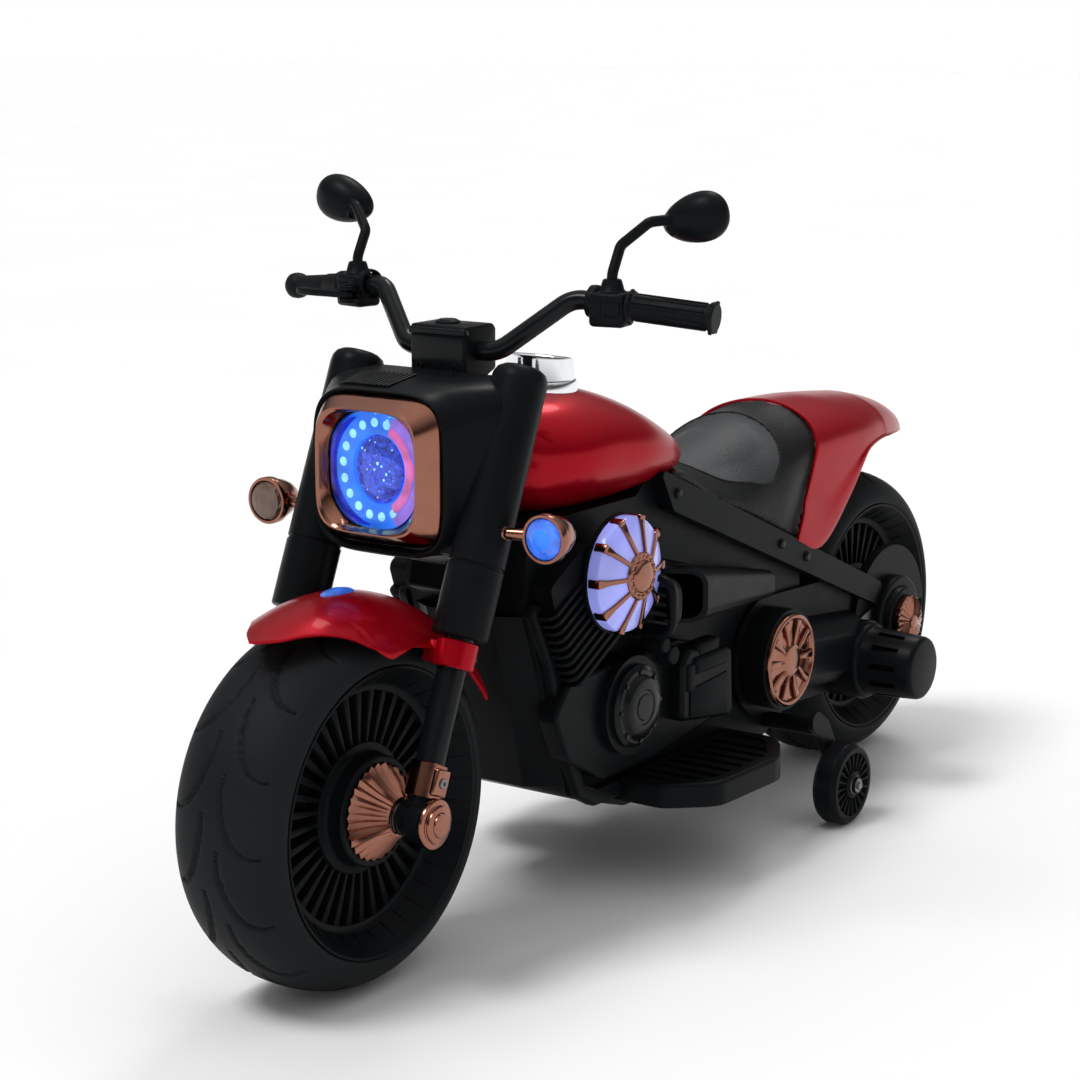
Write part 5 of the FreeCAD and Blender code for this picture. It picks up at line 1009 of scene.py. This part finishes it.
class BIKE_OT_signals(bpy.types.Operator):
    """Turn signal bullets with faceted lenses"""
    bl_idname = "bike.signals"
    bl_label = "Turn signals"

    def execute(self, context):
        s = sizes_of(context)
        low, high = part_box("signal_lenses")
        y, z = high.y / MM - 16.5, (low.z + high.z) / 2 / MM
        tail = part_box("signal_bodies")[0].x / MM
        place = facing_front(tail, y, z)
        root = in_fork(s) @ Vector((0, (s.fork_spread + 17) * MM, 216 / math.cos(s.rake) * MM))
        bm = bmesh.new()
        lathe(bm, [(0, 0), (4, 0.2), (7, 1.4), (9.6, 4), (13, 9), (16, 16), (17.8, 23), (18.4, 26),
                   (18.4, 27), (19.6, 27.6), (20, 28.6), (20, 35), (19.4, 36), (17.4, 36),
                   (16.7, 35), (16.7, 29)], place, 56)
        tube(bm, [tuple(c / MM for c in root), (root.x / MM - 4, y - 16, z), (tail + 15, y, z)],
             5.0, 4)
        lathe(bm, [(5, 6), (7, 5.4), (8.6, 3.6), (9, 1), (9, -3)],
              facing_left(*[c / MM for c in root]), 32)
        mirrored(bm)
        piece("signal_bullets", bm, "rose_copper", "steering", ("signal_bodies",))
        bm = bmesh.new()
        rings = [ring(bm, place, r, r, 2.0, 18) for r in (16.4, 16.4, 14.6, 10, 4.4)]
        for edges, lift in zip(rings, (28.6, 35.2, 37.4, 38.4, 39)):
            verts = verts_of(edges)
            bmesh.ops.translate(bm, vec=(lift * MM, 0, 0), verts=verts)
            bmesh.ops.rotate(bm, cent=place.translation, matrix=Matrix.Rotation(lift * 0.7, 3, 'X'),
                             verts=verts)
        loft(bm, rings)
        # The two signal glasses are one part made as lit and unlit copies: the near glass glows
        # blue, which is painted light, and the far copy gets a brown that paints the copper
        # reflected in it.
        other = bm.copy()
        lenses = [piece("signal_glasses", bm, "blue_lens", "steering", ("signal_lenses",),
                        crease=4)]
        bmesh.ops.scale(other, vec=(1, -1, 1), verts=other.verts[:])
        lenses.append(piece("right_signal_glass_painted_reflection", other, "painted_copper_reflection_lens", "steering",
                            crease=4))
        for lens in lenses:
            lens.data.shade_flat()
        # A glowing disc in the near glass is a painted bright centre.
        bm = bmesh.new()
        ball(bm, place @ shift(0, 0, 38.0), (9.6, 9.6, 1.6), 9, 6)
        piece("signal_painted_glow", bm, "lit_ring", "steering", crease=4)
        return {'FINISHED'}


# Painted panels


class BIKE_OT_front_fender(bpy.types.Operator):
    """Front fender with its beaked nose, collars and lamp"""
    bl_idname = "bike.front_fender"
    bl_label = "Front fender"

    def execute(self, context):
        s = sizes_of(context)
        crown, half = s.fender_radius, s.fender_half
        bow = (half * half + 36 * 36) / 72
        edge = between([(58, 0.05, 8.0, 0), (62, 0.26, 3.6, 0), (67, 0.42, 1.4, 0),
                        (73, 0.62, 0.2, 0), (80, 0.86, 0, 2), (86, 0.98, 0, 7), (92, 1.0, 0, 5),
                        (100, 1.0, 0, 0), (110, 1.0, 0, -2), (120, 0.99, 0, 0), (135, 1.0, 0.6, 0),
                        (150, 1.0, 2.2, 0)], 8)
        bm = bmesh.new()
        grid = bmesh.ops.create_grid(bm, x_segments=96, y_segments=36, size=1.0)["verts"]
        for v in grid:
            angle, share, lift, skirt = sample(edge, (v.co.x + 1) / 2)
            t = v.co.y
            y = half * max(share, 0.0) * (math.sin(t * QUARTER) if share > 0.9 else t)
            fall = bow - math.sqrt(bow * bow - y * y)
            r = crown + lift - fall - skirt * abs(t) ** 6
            turn = math.radians(angle)
            v.co = ((s.front_x + r * math.cos(turn)) * MM, y * MM,
                    (s.axle + r * math.sin(turn)) * MM)
        piece("front_fender_skin", bm, "candy_red", "steering", ("front_fender",), crease=60,
              wall=2.6, edge=1.0)
        leg = in_fork(s) @ shift(0, s.fork_spread, 0)
        bm = bmesh.new()
        lathe(bm, [(12.1, 122), (16, 122), (17, 123), (17, 143), (16, 144), (12.1, 144)], leg, 48)
        block(bm, (-9, -26, 124), (9, -11, 142), 2.0, 3, leg)
        block(bm, (-22, -4, 125), (-12, 5, 141), 1.6, 3, leg)
        mirrored(bm)
        piece("fender_collars", bm, "candy_red", "steering")
        bm = bmesh.new()
        spot = leg @ shift(-17, 5, 133) @ Matrix.Rotation(-QUARTER, 4, 'X')
        lathe(bm, [(0, 0.6), (1.7, 0.6), (1.9, 1.6), (3.6, 1.6), (4.2, 1.0), (4.2, -1)], spot, 24)
        mirrored(bm)
        piece("collar_screws", bm, "frame_steel", "steering")
        low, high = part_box("fender_lamp")
        middle = (low + high) / 2
        bm = bmesh.new()
        lean = math.asin((middle.x / MM - s.front_x) / crown)
        top = crown - 1.0
        ball(bm, shift(s.front_x, 0, s.axle) @ Matrix.Rotation(lean, 4, 'Y') @ shift(0, 0, top),
             ((high.x - low.x) / 2 / MM - 1, high.y / MM - 1, 4.6), 40, 20)
        piece("fender_lamp_dome", bm, "blue_lens", "steering", ("fender_lamp",), crease=180)
        return {'FINISHED'}


class BIKE_OT_tank(bpy.types.Operator):
    """Teardrop tank and its plated cap"""
    bl_idname = "bike.tank"
    bl_label = "Tank"

    def execute(self, context):
        s = sizes_of(context)
        front, half = s.front_x - 195, s.tank_half
        rows = between([(-2.0, 0.20, 270.0, 254.0), (0.0, 0.42, 282.0, 252.0),
                        (16.0, 0.72, 295.0, 250.0), (56.0, 0.94, 302.0, 249.0),
                        (106.0, 1.0, 302.0, 248.0), (156.0, 1.0, 289.0, 243.0),
                        (206.0, 0.86, 266.0, 233.0), (242.0, 0.62, 247.0, 226.0),
                        (262.0, 0.38, 235.0, 221.0), (268.0, 0.16, 229.0, 220.0)], 6)
        bm = bmesh.new()
        rings = [ring(bm, across(front - back, s.axle + mid), half * share, top - mid, 2.0, 96)
                 for back, share, top, mid in rows]
        loft(bm, rings)
        bmesh.ops.bisect_plane(bm, geom=bm.verts[:] + bm.edges[:] + bm.faces[:],
                               plane_co=(0, 0, (s.axle + 203) * MM), plane_no=(0, 0, 1),
                               clear_inner=True)
        piece("tank_skin", bm, "candy_red", "chassis", ("fuel_tank",), crease=70, wall=2.4,
              edge=1.0)
        low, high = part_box("tank_cap")
        middle, base, top = (low + high) / 2 / MM, low.z / MM, high.z / MM
        bm = bmesh.new()
        made = lathe(bm, [(33, base), (33, base + 9.4), (32.2, base + 10.8), (30.6, base + 11.4),
                          (30.2, base + 12.6), (30, top - 4), (29.4, top - 1.8), (28, top - 0.8),
                          (25, top - 0.4), (24, top - 1), (22.6, top - 1), (21.6, top - 0.4),
                          (10, top), (0, top)], Matrix(), 96)
        for v in made:
            v.co.z += 0.16 * v.co.x * max(0.0, (v.co.z / MM - base - 12) / (top - base - 12))
        bmesh.ops.transform(bm, matrix=shift(middle.x + 6, 0, -2.2), verts=made)
        piece("tank_cap_turned", bm, "bright_chrome", "chassis", ("tank_cap",))
        return {'FINISHED'}


class BIKE_OT_rear_fender(bpy.types.Operator):
    """Rear fender that runs down to the seat rails"""
    bl_idname = "bike.rear_fender"
    bl_label = "Rear fender"

    def execute(self, context):
        s = sizes_of(context)
        rows = between([(MOUTH_AHEAD, MOUTH_SHARE, 243.4, 118.5), (118.0, 1.05, 243.0, 105.0),
                        (90.0, 1.03, 242.0, 146.0), (62.0, 1.0, 239.6, 182.0),
                        (35.0, 0.955, 237.2, 191.0), (8.0, 0.89, 234.4, 194.0),
                        (-5.0, 0.86, 232.6, 193.0), (-40.0, 0.73, 225.0, 189.0),
                        (-66.0, 0.60, 216.5, 187.0), (-80.0, 0.52, 210.5, 186.0),
                        (-84.0, 0.49, 208.4, 186.0)], 8)
        bm = bmesh.new()
        grid = bmesh.ops.create_grid(bm, x_segments=110, y_segments=60, size=1.0)["verts"]
        for v in grid:
            ahead, share, ridge, low = sample(rows, (1 - v.co.x) / 2)
            half = s.tail_half * share
            arch = half * ARCH_SHARE
            t = v.co.y
            if abs(t) < 0.7:
                turn = t / 0.7 * QUARTER
                y, z = half * math.sin(turn), ridge - arch + arch * math.cos(turn)
                z = max(z, low)
            else:
                spring = max(ridge - arch, low)
                y, z = math.copysign(half, t), spring + (low - spring) * (abs(t) - 0.7) / 0.3
            y *= 1 + 0.030 * share * max(0.0, min(1.0, (abs(t) - 0.87) / 0.04))
            ease = max(0.0, (ahead - 60) / 83) ** 1.5
            ahead += ease * ((MOUTH_TOP - z) * MOUTH_LEAN + 6) - 0.6
            v.co = ((s.rear_x + ahead) * MM, y * MM, (s.axle + z) * MM)
        piece("rear_fender_skin", bm, "candy_red", "chassis", ("rear_fender",), crease=60, wall=2.6,
              edge=1.0)
        return {'FINISHED'}


# Seat


class BIKE_OT_seat(bpy.types.Operator):
    """Padded seat with a scooped inner panel and its sewn edge"""
    bl_idname = "bike.seat"
    bl_label = "Seat"

    def execute(self, context):
        s = sizes_of(context)
        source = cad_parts["seat_pad"]
        bm = bmesh.new()
        bm.from_mesh(source.data)
        bmesh.ops.remove_doubles(bm, verts=bm.verts[:], dist=1e-5)
        bmesh.ops.recalc_face_normals(bm, faces=bm.faces[:])
        pad = piece("seat_cushion", bm, "seat_cover", "chassis", ("seat_pad",), crease=180)
        remesh = pad.modifiers.new("remesh", 'REMESH')
        remesh.mode = 'VOXEL'
        remesh.voxel_size = 0.0045
        self.settle(pad)
        smooth = pad.modifiers.new("smooth", 'SMOOTH')
        smooth.factor = 0.5
        smooth.iterations = 5
        self.settle(pad)
        self.swell(context.scene, pad)
        self.tuck(s, pad)
        finer = pad.modifiers.new("finer", 'SUBSURF')
        finer.levels = 1
        finer.render_levels = 1
        self.settle(pad)
        line = self.scoop(s, pad)
        self.seam(pad, line)
        return {'FINISHED'}

    def settle(self, pad):
        """Applies the modifiers that the pad holds."""
        held = bpy.context.evaluated_depsgraph_get()
        mesh = bpy.data.meshes.new_from_object(pad.evaluated_get(held))
        pad.modifiers.clear()
        pad.data = mesh
        mesh.shade_smooth()

    def swell(self, scene, pad):
        """Blows the cover up a little over its held base, tank side and back."""
        held = pad.vertex_groups.new(name="held")
        for v in pad.data.vertices:
            free = v.normal.z > 0.05 or abs(v.normal.y) > 0.75
            held.add([v.index], 0.0 if free else 1.0, 'REPLACE')
        cloth = pad.modifiers.new("cloth", 'CLOTH')
        cloth.settings.use_pressure = True
        cloth.settings.uniform_pressure_force = 4.0
        cloth.settings.vertex_group_mass = "held"
        cloth.settings.effector_weights.gravity = 0.0
        start = np.array([v.co[:] for v in pad.data.vertices])
        for step in range(1, 21):
            scene.frame_set(step)
        mesh = pad.evaluated_get(bpy.context.evaluated_depsgraph_get()).data
        moved = np.array([v.co[:] for v in mesh.vertices]) - start
        pad.modifiers.clear()
        scene.frame_set(1)
        far = np.linalg.norm(moved, axis=1, keepdims=True)
        moved *= np.minimum(1.0, SWELL_LIMIT * MM / np.maximum(far, 1e-9))
        for v, co in zip(pad.data.vertices, start + moved):
            v.co = co

    def tuck(self, s, pad):
        """Fits the section of the seat's end to the rear fender's mouth."""
        base, half, ridge = 108.0, s.tail_half * MOUTH_SHARE - 2.4, 241.0
        spring = ridge - ARCH_SHARE * half
        turn = np.linspace(0, math.pi, 120)
        up = np.stack([np.full(40, half), np.linspace(base, spring, 40)], axis=1)
        over = np.stack([half * np.cos(turn), spring + (ridge - spring) * np.sin(turn)], axis=1)
        down = np.stack([np.full(40, -half), np.linspace(spring, base, 40)], axis=1)
        mouth = np.vstack([up, over, down]) - (0, base)
        co = np.array([v.co[:] for v in pad.data.vertices]) / MM - (s.rear_x, 0, s.axle)
        ahead = co[:, 0] - MOUTH_AHEAD - (MOUTH_TOP - co[:, 2]) * MOUTH_LEAN
        way = np.arctan2(co[:, 2] - base, co[:, 1])
        far = np.hypot(co[:, 2] - base, co[:, 1])
        bins = np.radians(np.arange(2, 180, 4))
        reach = []
        for middle in bins:
            near = (np.abs(way - middle) < 0.05) & (ahead > 6) & (ahead < 24)
            reach.append(far[near].max() if near.any() else np.nan)
        reach = np.array(reach)
        known = ~np.isnan(reach)
        reach = np.interp(bins, bins[known], reach[known])
        wanted = np.interp(way, np.arctan2(mouth[:, 1], mouth[:, 0]),
                           np.hypot(mouth[:, 1], mouth[:, 0]))
        share = wanted / np.interp(way, bins, reach)
        near = np.clip(1 - ahead / 50, 0, 1) * (co[:, 2] > base)
        near *= near * (3 - 2 * near)
        factor = 1 + near * (share - 1)
        for v, f, gap in zip(pad.data.vertices, factor, ahead):
            v.co.y *= f
            v.co.z = (v.co.z - (s.axle + base) * MM) * f + (s.axle + base) * MM
            if gap < 3:
                v.co.x -= TUCK_DEPTH * MM

    def scoop(self, s, pad):
        """Sinks the leaf-shaped panel and gives it the paler cover; returns the panel's edge."""
        side = between([(349, 0), (346, 20), (336, 40), (318, 56), (290, 65), (264, 71.5),
                        (244, 72), (226, 66), (213, 50), (207, 26), (205, 0)], 8)
        line = np.vstack([side, side[-2:0:-1] * (1, -1)]) * MM
        line[:, 0] += s.rear_x * MM
        pad.data.materials.append(bpy.data.materials["seat_panel"])
        depth = np.array([self.inside(line, v.co) for v in pad.data.vertices])
        normals = [v.normal.copy() for v in pad.data.vertices]
        for v, d, normal in zip(pad.data.vertices, depth, normals):
            if d > 0 and normal.z > -0.2 and v.co.z > (s.axle + PANEL_FLOOR) * MM:
                ease = min(1.0, d / (SCOOP_EASE * MM))
                v.co -= normal * SCOOP_DEPTH * MM * ease * (2 - ease)
        for face in pad.data.polygons:
            inner = all(depth[i] > 0 for i in face.vertices) and face.normal.z > -0.2
            face.material_index = 1 if inner and face.center.z > (s.axle + PANEL_FLOOR) * MM else 0
        return line

    def inside(self, line, co):
        """Distance of a point from the panel's edge in plan, positive within it."""
        ahead = np.roll(line, -1, axis=0)
        step = ahead - line
        point = np.array((co.x, co.y))
        share = np.clip(((point - line) * step).sum(axis=1) / (step * step).sum(axis=1), 0, 1)
        gap = np.hypot(*(line + step * share[:, None] - point).T).min()
        rises = (line[:, 1] > point[1]) != (ahead[:, 1] > point[1])
        slope = np.where(rises, step[:, 1], 1.0)
        crossing = line[:, 0] + (point[1] - line[:, 1]) / slope * step[:, 0]
        odd = np.count_nonzero(rises & (point[0] < crossing)) % 2
        return gap if odd else -gap

    def seam(self, pad, line):
        """Thin piping on the panel's edge."""
        bm = bmesh.new()
        bm.from_mesh(pad.data)
        tree = BVHTree.FromBMesh(bm)
        bm.free()
        points = []
        for x, y in np.vstack([line, line[:2]]):
            spot = tree.ray_cast(Vector((x, y, 0.6)), Vector((0, 0, -1)))[0]
            spot = spot or tree.find_nearest(Vector((x, y, 0.35)))[0]
            points.append(tuple(c / MM for c in spot))
        bm = bmesh.new()
        tube(bm, points, 1.0, 3)
        piece("seat_piping", bm, "seat_cover", "chassis", crease=180)


# Engine side and drive


class BIKE_OT_engine(bpy.types.Operator):
    """Lit air filter, crank cover, discs and pods"""
    bl_idname = "bike.engine"
    bl_label = "Engine side"

    def execute(self, context):
        s = sizes_of(context)
        x, z, r = 134.0, s.axle + 149, s.filter_radius
        place = facing_left(x, 0, z)
        bm = bmesh.new()
        lathe(bm, [(r - 0.8, 90), (r - 0.4, 98.6), (r - 1.4, 101), (r - 4.2, 102.4), (20, 111.8),
                   (0, 112)], place, 96)
        mirrored(bm)
        piece("filter_panels", bm, "lit_panel", "chassis", ("air_filter_lenses",))
        bm = bmesh.new()
        lathe(bm, [(20.6, 111.2), (21, 113), (20, 114.6), (18, 115.2), (16.4, 114.6), (14.6, 114.6),
                   (13.6, 116.4), (11, 117.6), (6, 118.2), (0, 118.4)], place, 64)
        marked = set(bm.verts)
        ball(bm, shift(17.4, 0, 114.8), (2.0, 2.0, 1.4), 12, 8)
        repeat(bm, marked, 16, place)
        marked = set(bm.verts)
        tilt = math.atan2(9.4, 26.8)
        slab(bm, [(-14.5, -1.8), (6, -2.4), (14.5, -3.8), (14.5, 3.8), (6, 2.4), (-14.5, 1.8)], 3.2,
             shift(33.6, 0, 106.0) @ Matrix.Rotation(tilt, 4, 'Y'), 0.7, 2)
        block(bm, (r - 4.6, -3.8, 92.4), (r + 0.9, 3.8, 104.2), 0.9, 2)
        repeat(bm, marked, 10, place)
        mirrored(bm)
        piece("filter_spokes", bm, "rose_copper", "chassis", ("air_filter_grilles",))
        bm = bmesh.new()
        lathe(bm, [(r - 6, 86), (r + 0.6, 87), (r + 1.4, 88.4), (r + 1.2, 90.4), (r - 1, 91)],
              place, 96)
        mirrored(bm)
        piece("filter_backs", bm, "satin_black", "chassis")
        self.trims(s)
        self.covers(s)
        self.drive(s)
        return {'FINISHED'}

    def trims(self, s):
        """Scoop lips, side box steps and the little wheels' hubs."""
        bm = bmesh.new()
        lip = ((84, 28.6, 27), (89, 30.6, 28.6), (92.6, 31.2, 29.2), (95.4, 30.2, 28.4),
               (96.4, 28, 26.2), (95.6, 25.8, 24), (92, 24.6, 22.8), (70, 23.4, 21.6))
        rings = [ring(bm, across(x, s.axle + 113, 91), wide, high, 3.6, 72)
                 for x, wide, high in lip]
        loft(bm, rings, (False, False))
        mirrored(bm)
        piece("scoop_lips", bm, "satin_black", "chassis", crease=60)
        bm = bmesh.new()
        face = facing_left(-8, 94, s.axle + 6)
        slab(bm, [(-33, -20), (32, -11), (32, 16), (-33, 20)], 2.6,
             face @ Matrix.Scale(-1, 4, (0, 1, 0)), 1.2, 2)
        block(bm, (-38, 78, s.axle + 34), (18, 99, s.axle + 50), 4.0, 3)
        block(bm, (-28, 80, s.axle + 48), (10, 96, s.axle + 62), 4.0, 3)
        block(bm, (16, 76, s.axle + 20), (30, 97.5, s.axle + 46), 3.0, 3)
        for x, z, r in ((46, 58, 9.0), (60, 70, 7.5), (-46, 30, 6.0)):
            lathe(bm, [(r + 1.4, 70), (r + 1.4, 84), (r, 86), (r, 91), (r - 1.4, 92.6), (0, 93)],
                  facing_left(x, 0, s.axle + z), 32)
        mirrored(bm)
        piece("box_steps", bm, "engine_grey", "chassis")
        for side, body in ((1, "left_training_wheel"), (-1, "right_training_wheel")):
            bm = bmesh.new()
            place = shift(*LITTLE_WHEEL) @ Matrix.Rotation(-side * QUARTER, 4, 'X')
            marked = set(bm.verts)
            slab(bm, [(14, -0.7), (30.5, -1.4), (30.5, 1.4), (14, 0.7)], 4.4, shift(0, 0, 148.4),
                 0.5, 1)
            repeat(bm, marked, 20)
            lathe(bm, [(10, 148), (13.4, 153.2), (12.4, 154.2), (9.4, 154.2)], Matrix(), 40)
            bmesh.ops.transform(bm, matrix=place, verts=bm.verts[:])
            piece(body + "_ribs", bm, "tyre_plastic", body)
        bm = bmesh.new()
        nut = facing_left(*LITTLE_WHEEL)
        lathe(bm, [(9, 153.8), (9, 154.8), (8.4, 155.2)], nut, 32)
        steps = ((8.0, 154), (8.0, 157.4), (7.2, 158.4), (4.4, 158.8), (4.2, 160.4), (3.4, 161))
        rings = [ring(bm, nut @ shift(0, 0, h), r, r, 2.0, 6) for r, h in steps]
        loft(bm, rings)
        mirrored(bm)
        piece("little_nuts", bm, "frame_steel", "chassis", crease=20)

    def covers(self, s):
        place = facing_left(106.0, 0, s.axle + 25)
        bm = bmesh.new()
        lathe(bm, [(37, 88), (37, 92), (36.2, 93), (34, 93.6), (32.6, 95), (29, 95), (28, 95.6),
                   (26, 99), (24.6, 100), (16, 100), (15, 99.2), (12, 99.2), (11, 100.2),
                   (0, 100.6)], place, 80)
        marked = set(bm.verts)
        lathe(bm, [(0, 96.6), (1.8, 96.6), (2.4, 96), (2.4, 94.4)], shift(31, 0, 0), 12)
        repeat(bm, marked, 8, place)
        mirrored(bm)
        piece("crank_lids", bm, "black_steel", "chassis", ("crankcase_covers",))

    def drive(self, s):
        place = facing_left(s.rear_x + 251, 0, s.axle + 11)
        bm = bmesh.new()
        lathe(bm, [(45, 94), (45, 96.6), (44.2, 97.8), (42.4, 98.4), (40.8, 98), (39.8, 96.4),
                   (38.6, 95), (28, 94.6), (17, 96.2), (15.4, 97.6), (13, 98.6), (8, 99), (0, 99)],
              place, 96)
        marked = set(bm.verts)
        slab(bm, [(14.6, -1.6), (27, -4.4), (39.4, -5.4), (40.2, -1.0), (40, 3.4), (27, 2.2),
                  (14.6, 1.6)], 4.0, shift(0, 0, 94.2), 1.6, 3)
        repeat(bm, marked, 10, place)
        mirrored(bm)
        piece("copper_discs", bm, "rose_copper", "chassis", ("drive_discs",))
        place = facing_left(s.rear_x + 89, 0, s.axle - 23)
        bm = bmesh.new()
        lathe(bm, [(38, 93), (38, 98), (37, 99.4), (34.6, 100.4), (34.2, 101.4), (33.8, 112),
                   (28, 112.4), (28, 140), (32.6, 140.4), (31.8, 153), (30.8, 155.8), (28.8, 157.2),
                   (27, 157.6), (0, 158)], place, 72)
        for i in range(11):
            sector(bm, [(33.8, 112), (32.6, 140.4), (27.8, 140.4), (27.8, 112)], place,
                   i * 360 / 11, 360 / 11 - 10.5, 8)
        mirrored(bm)
        piece("pod_shells", bm, "satin_black", "chassis", ("motor_pods",))


# Stage


class BIKE_OT_stage(bpy.types.Operator):
    """Floor, light and camera"""
    bl_idname = "bike.stage"
    bl_label = "Stage"

    def execute(self, context):
        scene = context.scene
        scene.view_settings.view_transform = 'Standard'
        self.floor(scene.bike_colours)
        self.world(scene)
        for name, source, power, spread in (("key_sun", (0.75, -0.35, 1.5), 1.35, 20),
                                            ("rim_sun", (-0.9, -0.3, 1.25), 0.6, 18)):
            light = bpy.data.lights.new(name, 'SUN')
            light.energy = power
            light.angle = math.radians(spread)
            lamp = bpy.data.objects.new(name, light)
            lamp.location = source
            lamp.rotation_euler = Vector(source).to_track_quat('Z', 'Y').to_euler()
            scene.collection.objects.link(lamp)
        camera = bpy.data.cameras.new("photo_camera")
        camera.sensor_width = 36.0
        camera.lens = 84.63
        camera.clip_end = 100.0
        holder = bpy.data.objects.new("photo_camera", camera)
        holder.location = (1.91461, 1.24815, 0.76697)
        aim = Vector((0.12323, 0.0, 0.31518))
        holder.rotation_euler = (holder.location - aim).to_track_quat('Z', 'Y').to_euler()
        scene.collection.objects.link(holder)
        scene.camera = holder
        return {'FINISHED'}

    def floor(self, colours):
        bm = bmesh.new()
        bmesh.ops.create_grid(bm, x_segments=1, y_segments=1, size=30.0)
        bmesh.ops.translate(bm, vec=(0, 0, cad_box[0][2] - 0.0005), verts=bm.verts[:])
        mesh = bpy.data.meshes.new("studio_floor")
        bm.to_mesh(mesh)
        bm.free()
        material = finish("studio_floor", colours.floor, 0.65, specular=0.2,
                          patch=(1.5, 0.01, 0.03))
        mesh.materials.append(material)
        floor = bpy.data.objects.new("studio_floor", mesh)
        bpy.context.scene.collection.objects.link(floor)

    def world(self, scene):
        world = bpy.data.worlds.new("studio")
        world.use_nodes = True
        tree = world.node_tree
        back = tree.nodes["Background"]
        back.inputs["Color"].default_value = (1.0, 1.0, 1.0, 1.0)
        split = tree.nodes.new("ShaderNodeSeparateXYZ")
        tree.links.new(tree.nodes.new("ShaderNodeTexCoord").outputs["Generated"],
                       split.inputs["Vector"])
        levels = []
        for low, high, start, stop in ((0.10, 0.22, 1.0, 0.0), (0.30, 0.90, 0.08, 0.85)):
            rise = tree.nodes.new("ShaderNodeMapRange")
            for label, value in (("From Min", low), ("From Max", high), ("To Min", start),
                                 ("To Max", stop)):
                rise.inputs[label].default_value = value
            tree.links.new(split.outputs["Z"], rise.inputs["Value"])
            levels.append(rise.outputs["Result"])
        brighter = tree.nodes.new("ShaderNodeMath")
        brighter.operation = 'MAXIMUM'
        for level, socket in zip(levels, brighter.inputs):
            tree.links.new(level, socket)
        tree.links.new(brighter.outputs["Value"], back.inputs["Strength"])
        scene.world = world


OPERATORS = (BIKE_OT_finishes, BIKE_OT_tyres, BIKE_OT_rims, BIKE_OT_hubs, BIKE_OT_fork,
             BIKE_OT_headlight, BIKE_OT_handlebar, BIKE_OT_mirrors, BIKE_OT_signals,
             BIKE_OT_front_fender, BIKE_OT_tank, BIKE_OT_rear_fender, BIKE_OT_seat, BIKE_OT_engine,
             BIKE_OT_stage)


class BIKE_PT_panel(bpy.types.Panel):
    """Lists the bike's sizes, colours and pieces"""
    bl_idname = "BIKE_PT_panel"
    bl_label = "Motorbike"
    bl_space_type = 'VIEW_3D'
    bl_region_type = 'UI'
    bl_category = "Motorbike"

    def draw(self, context):
        for group in (context.scene.bike_sizes, context.scene.bike_colours):
            for name in type(group).__annotations__:
                self.layout.prop(group, name)
        for operator in OPERATORS:
            self.layout.operator(operator.bl_idname)


CLASSES = (BikeSizes, BikeColours) + OPERATORS + (BIKE_PT_panel,)


def register():
    for each in CLASSES:
        bpy.utils.register_class(each)
    bpy.types.Scene.bike_sizes = bpy.props.PointerProperty(type=BikeSizes)
    bpy.types.Scene.bike_colours = bpy.props.PointerProperty(type=BikeColours)


def unregister():
    del bpy.types.Scene.bike_colours
    del bpy.types.Scene.bike_sizes
    for each in reversed(CLASSES):
        bpy.utils.unregister_class(each)


def main():
    register()
    for operator in OPERATORS:
        getattr(bpy.ops.bike, operator.bl_idname.split(".")[1])()


if __name__ == "__main__":
    main()
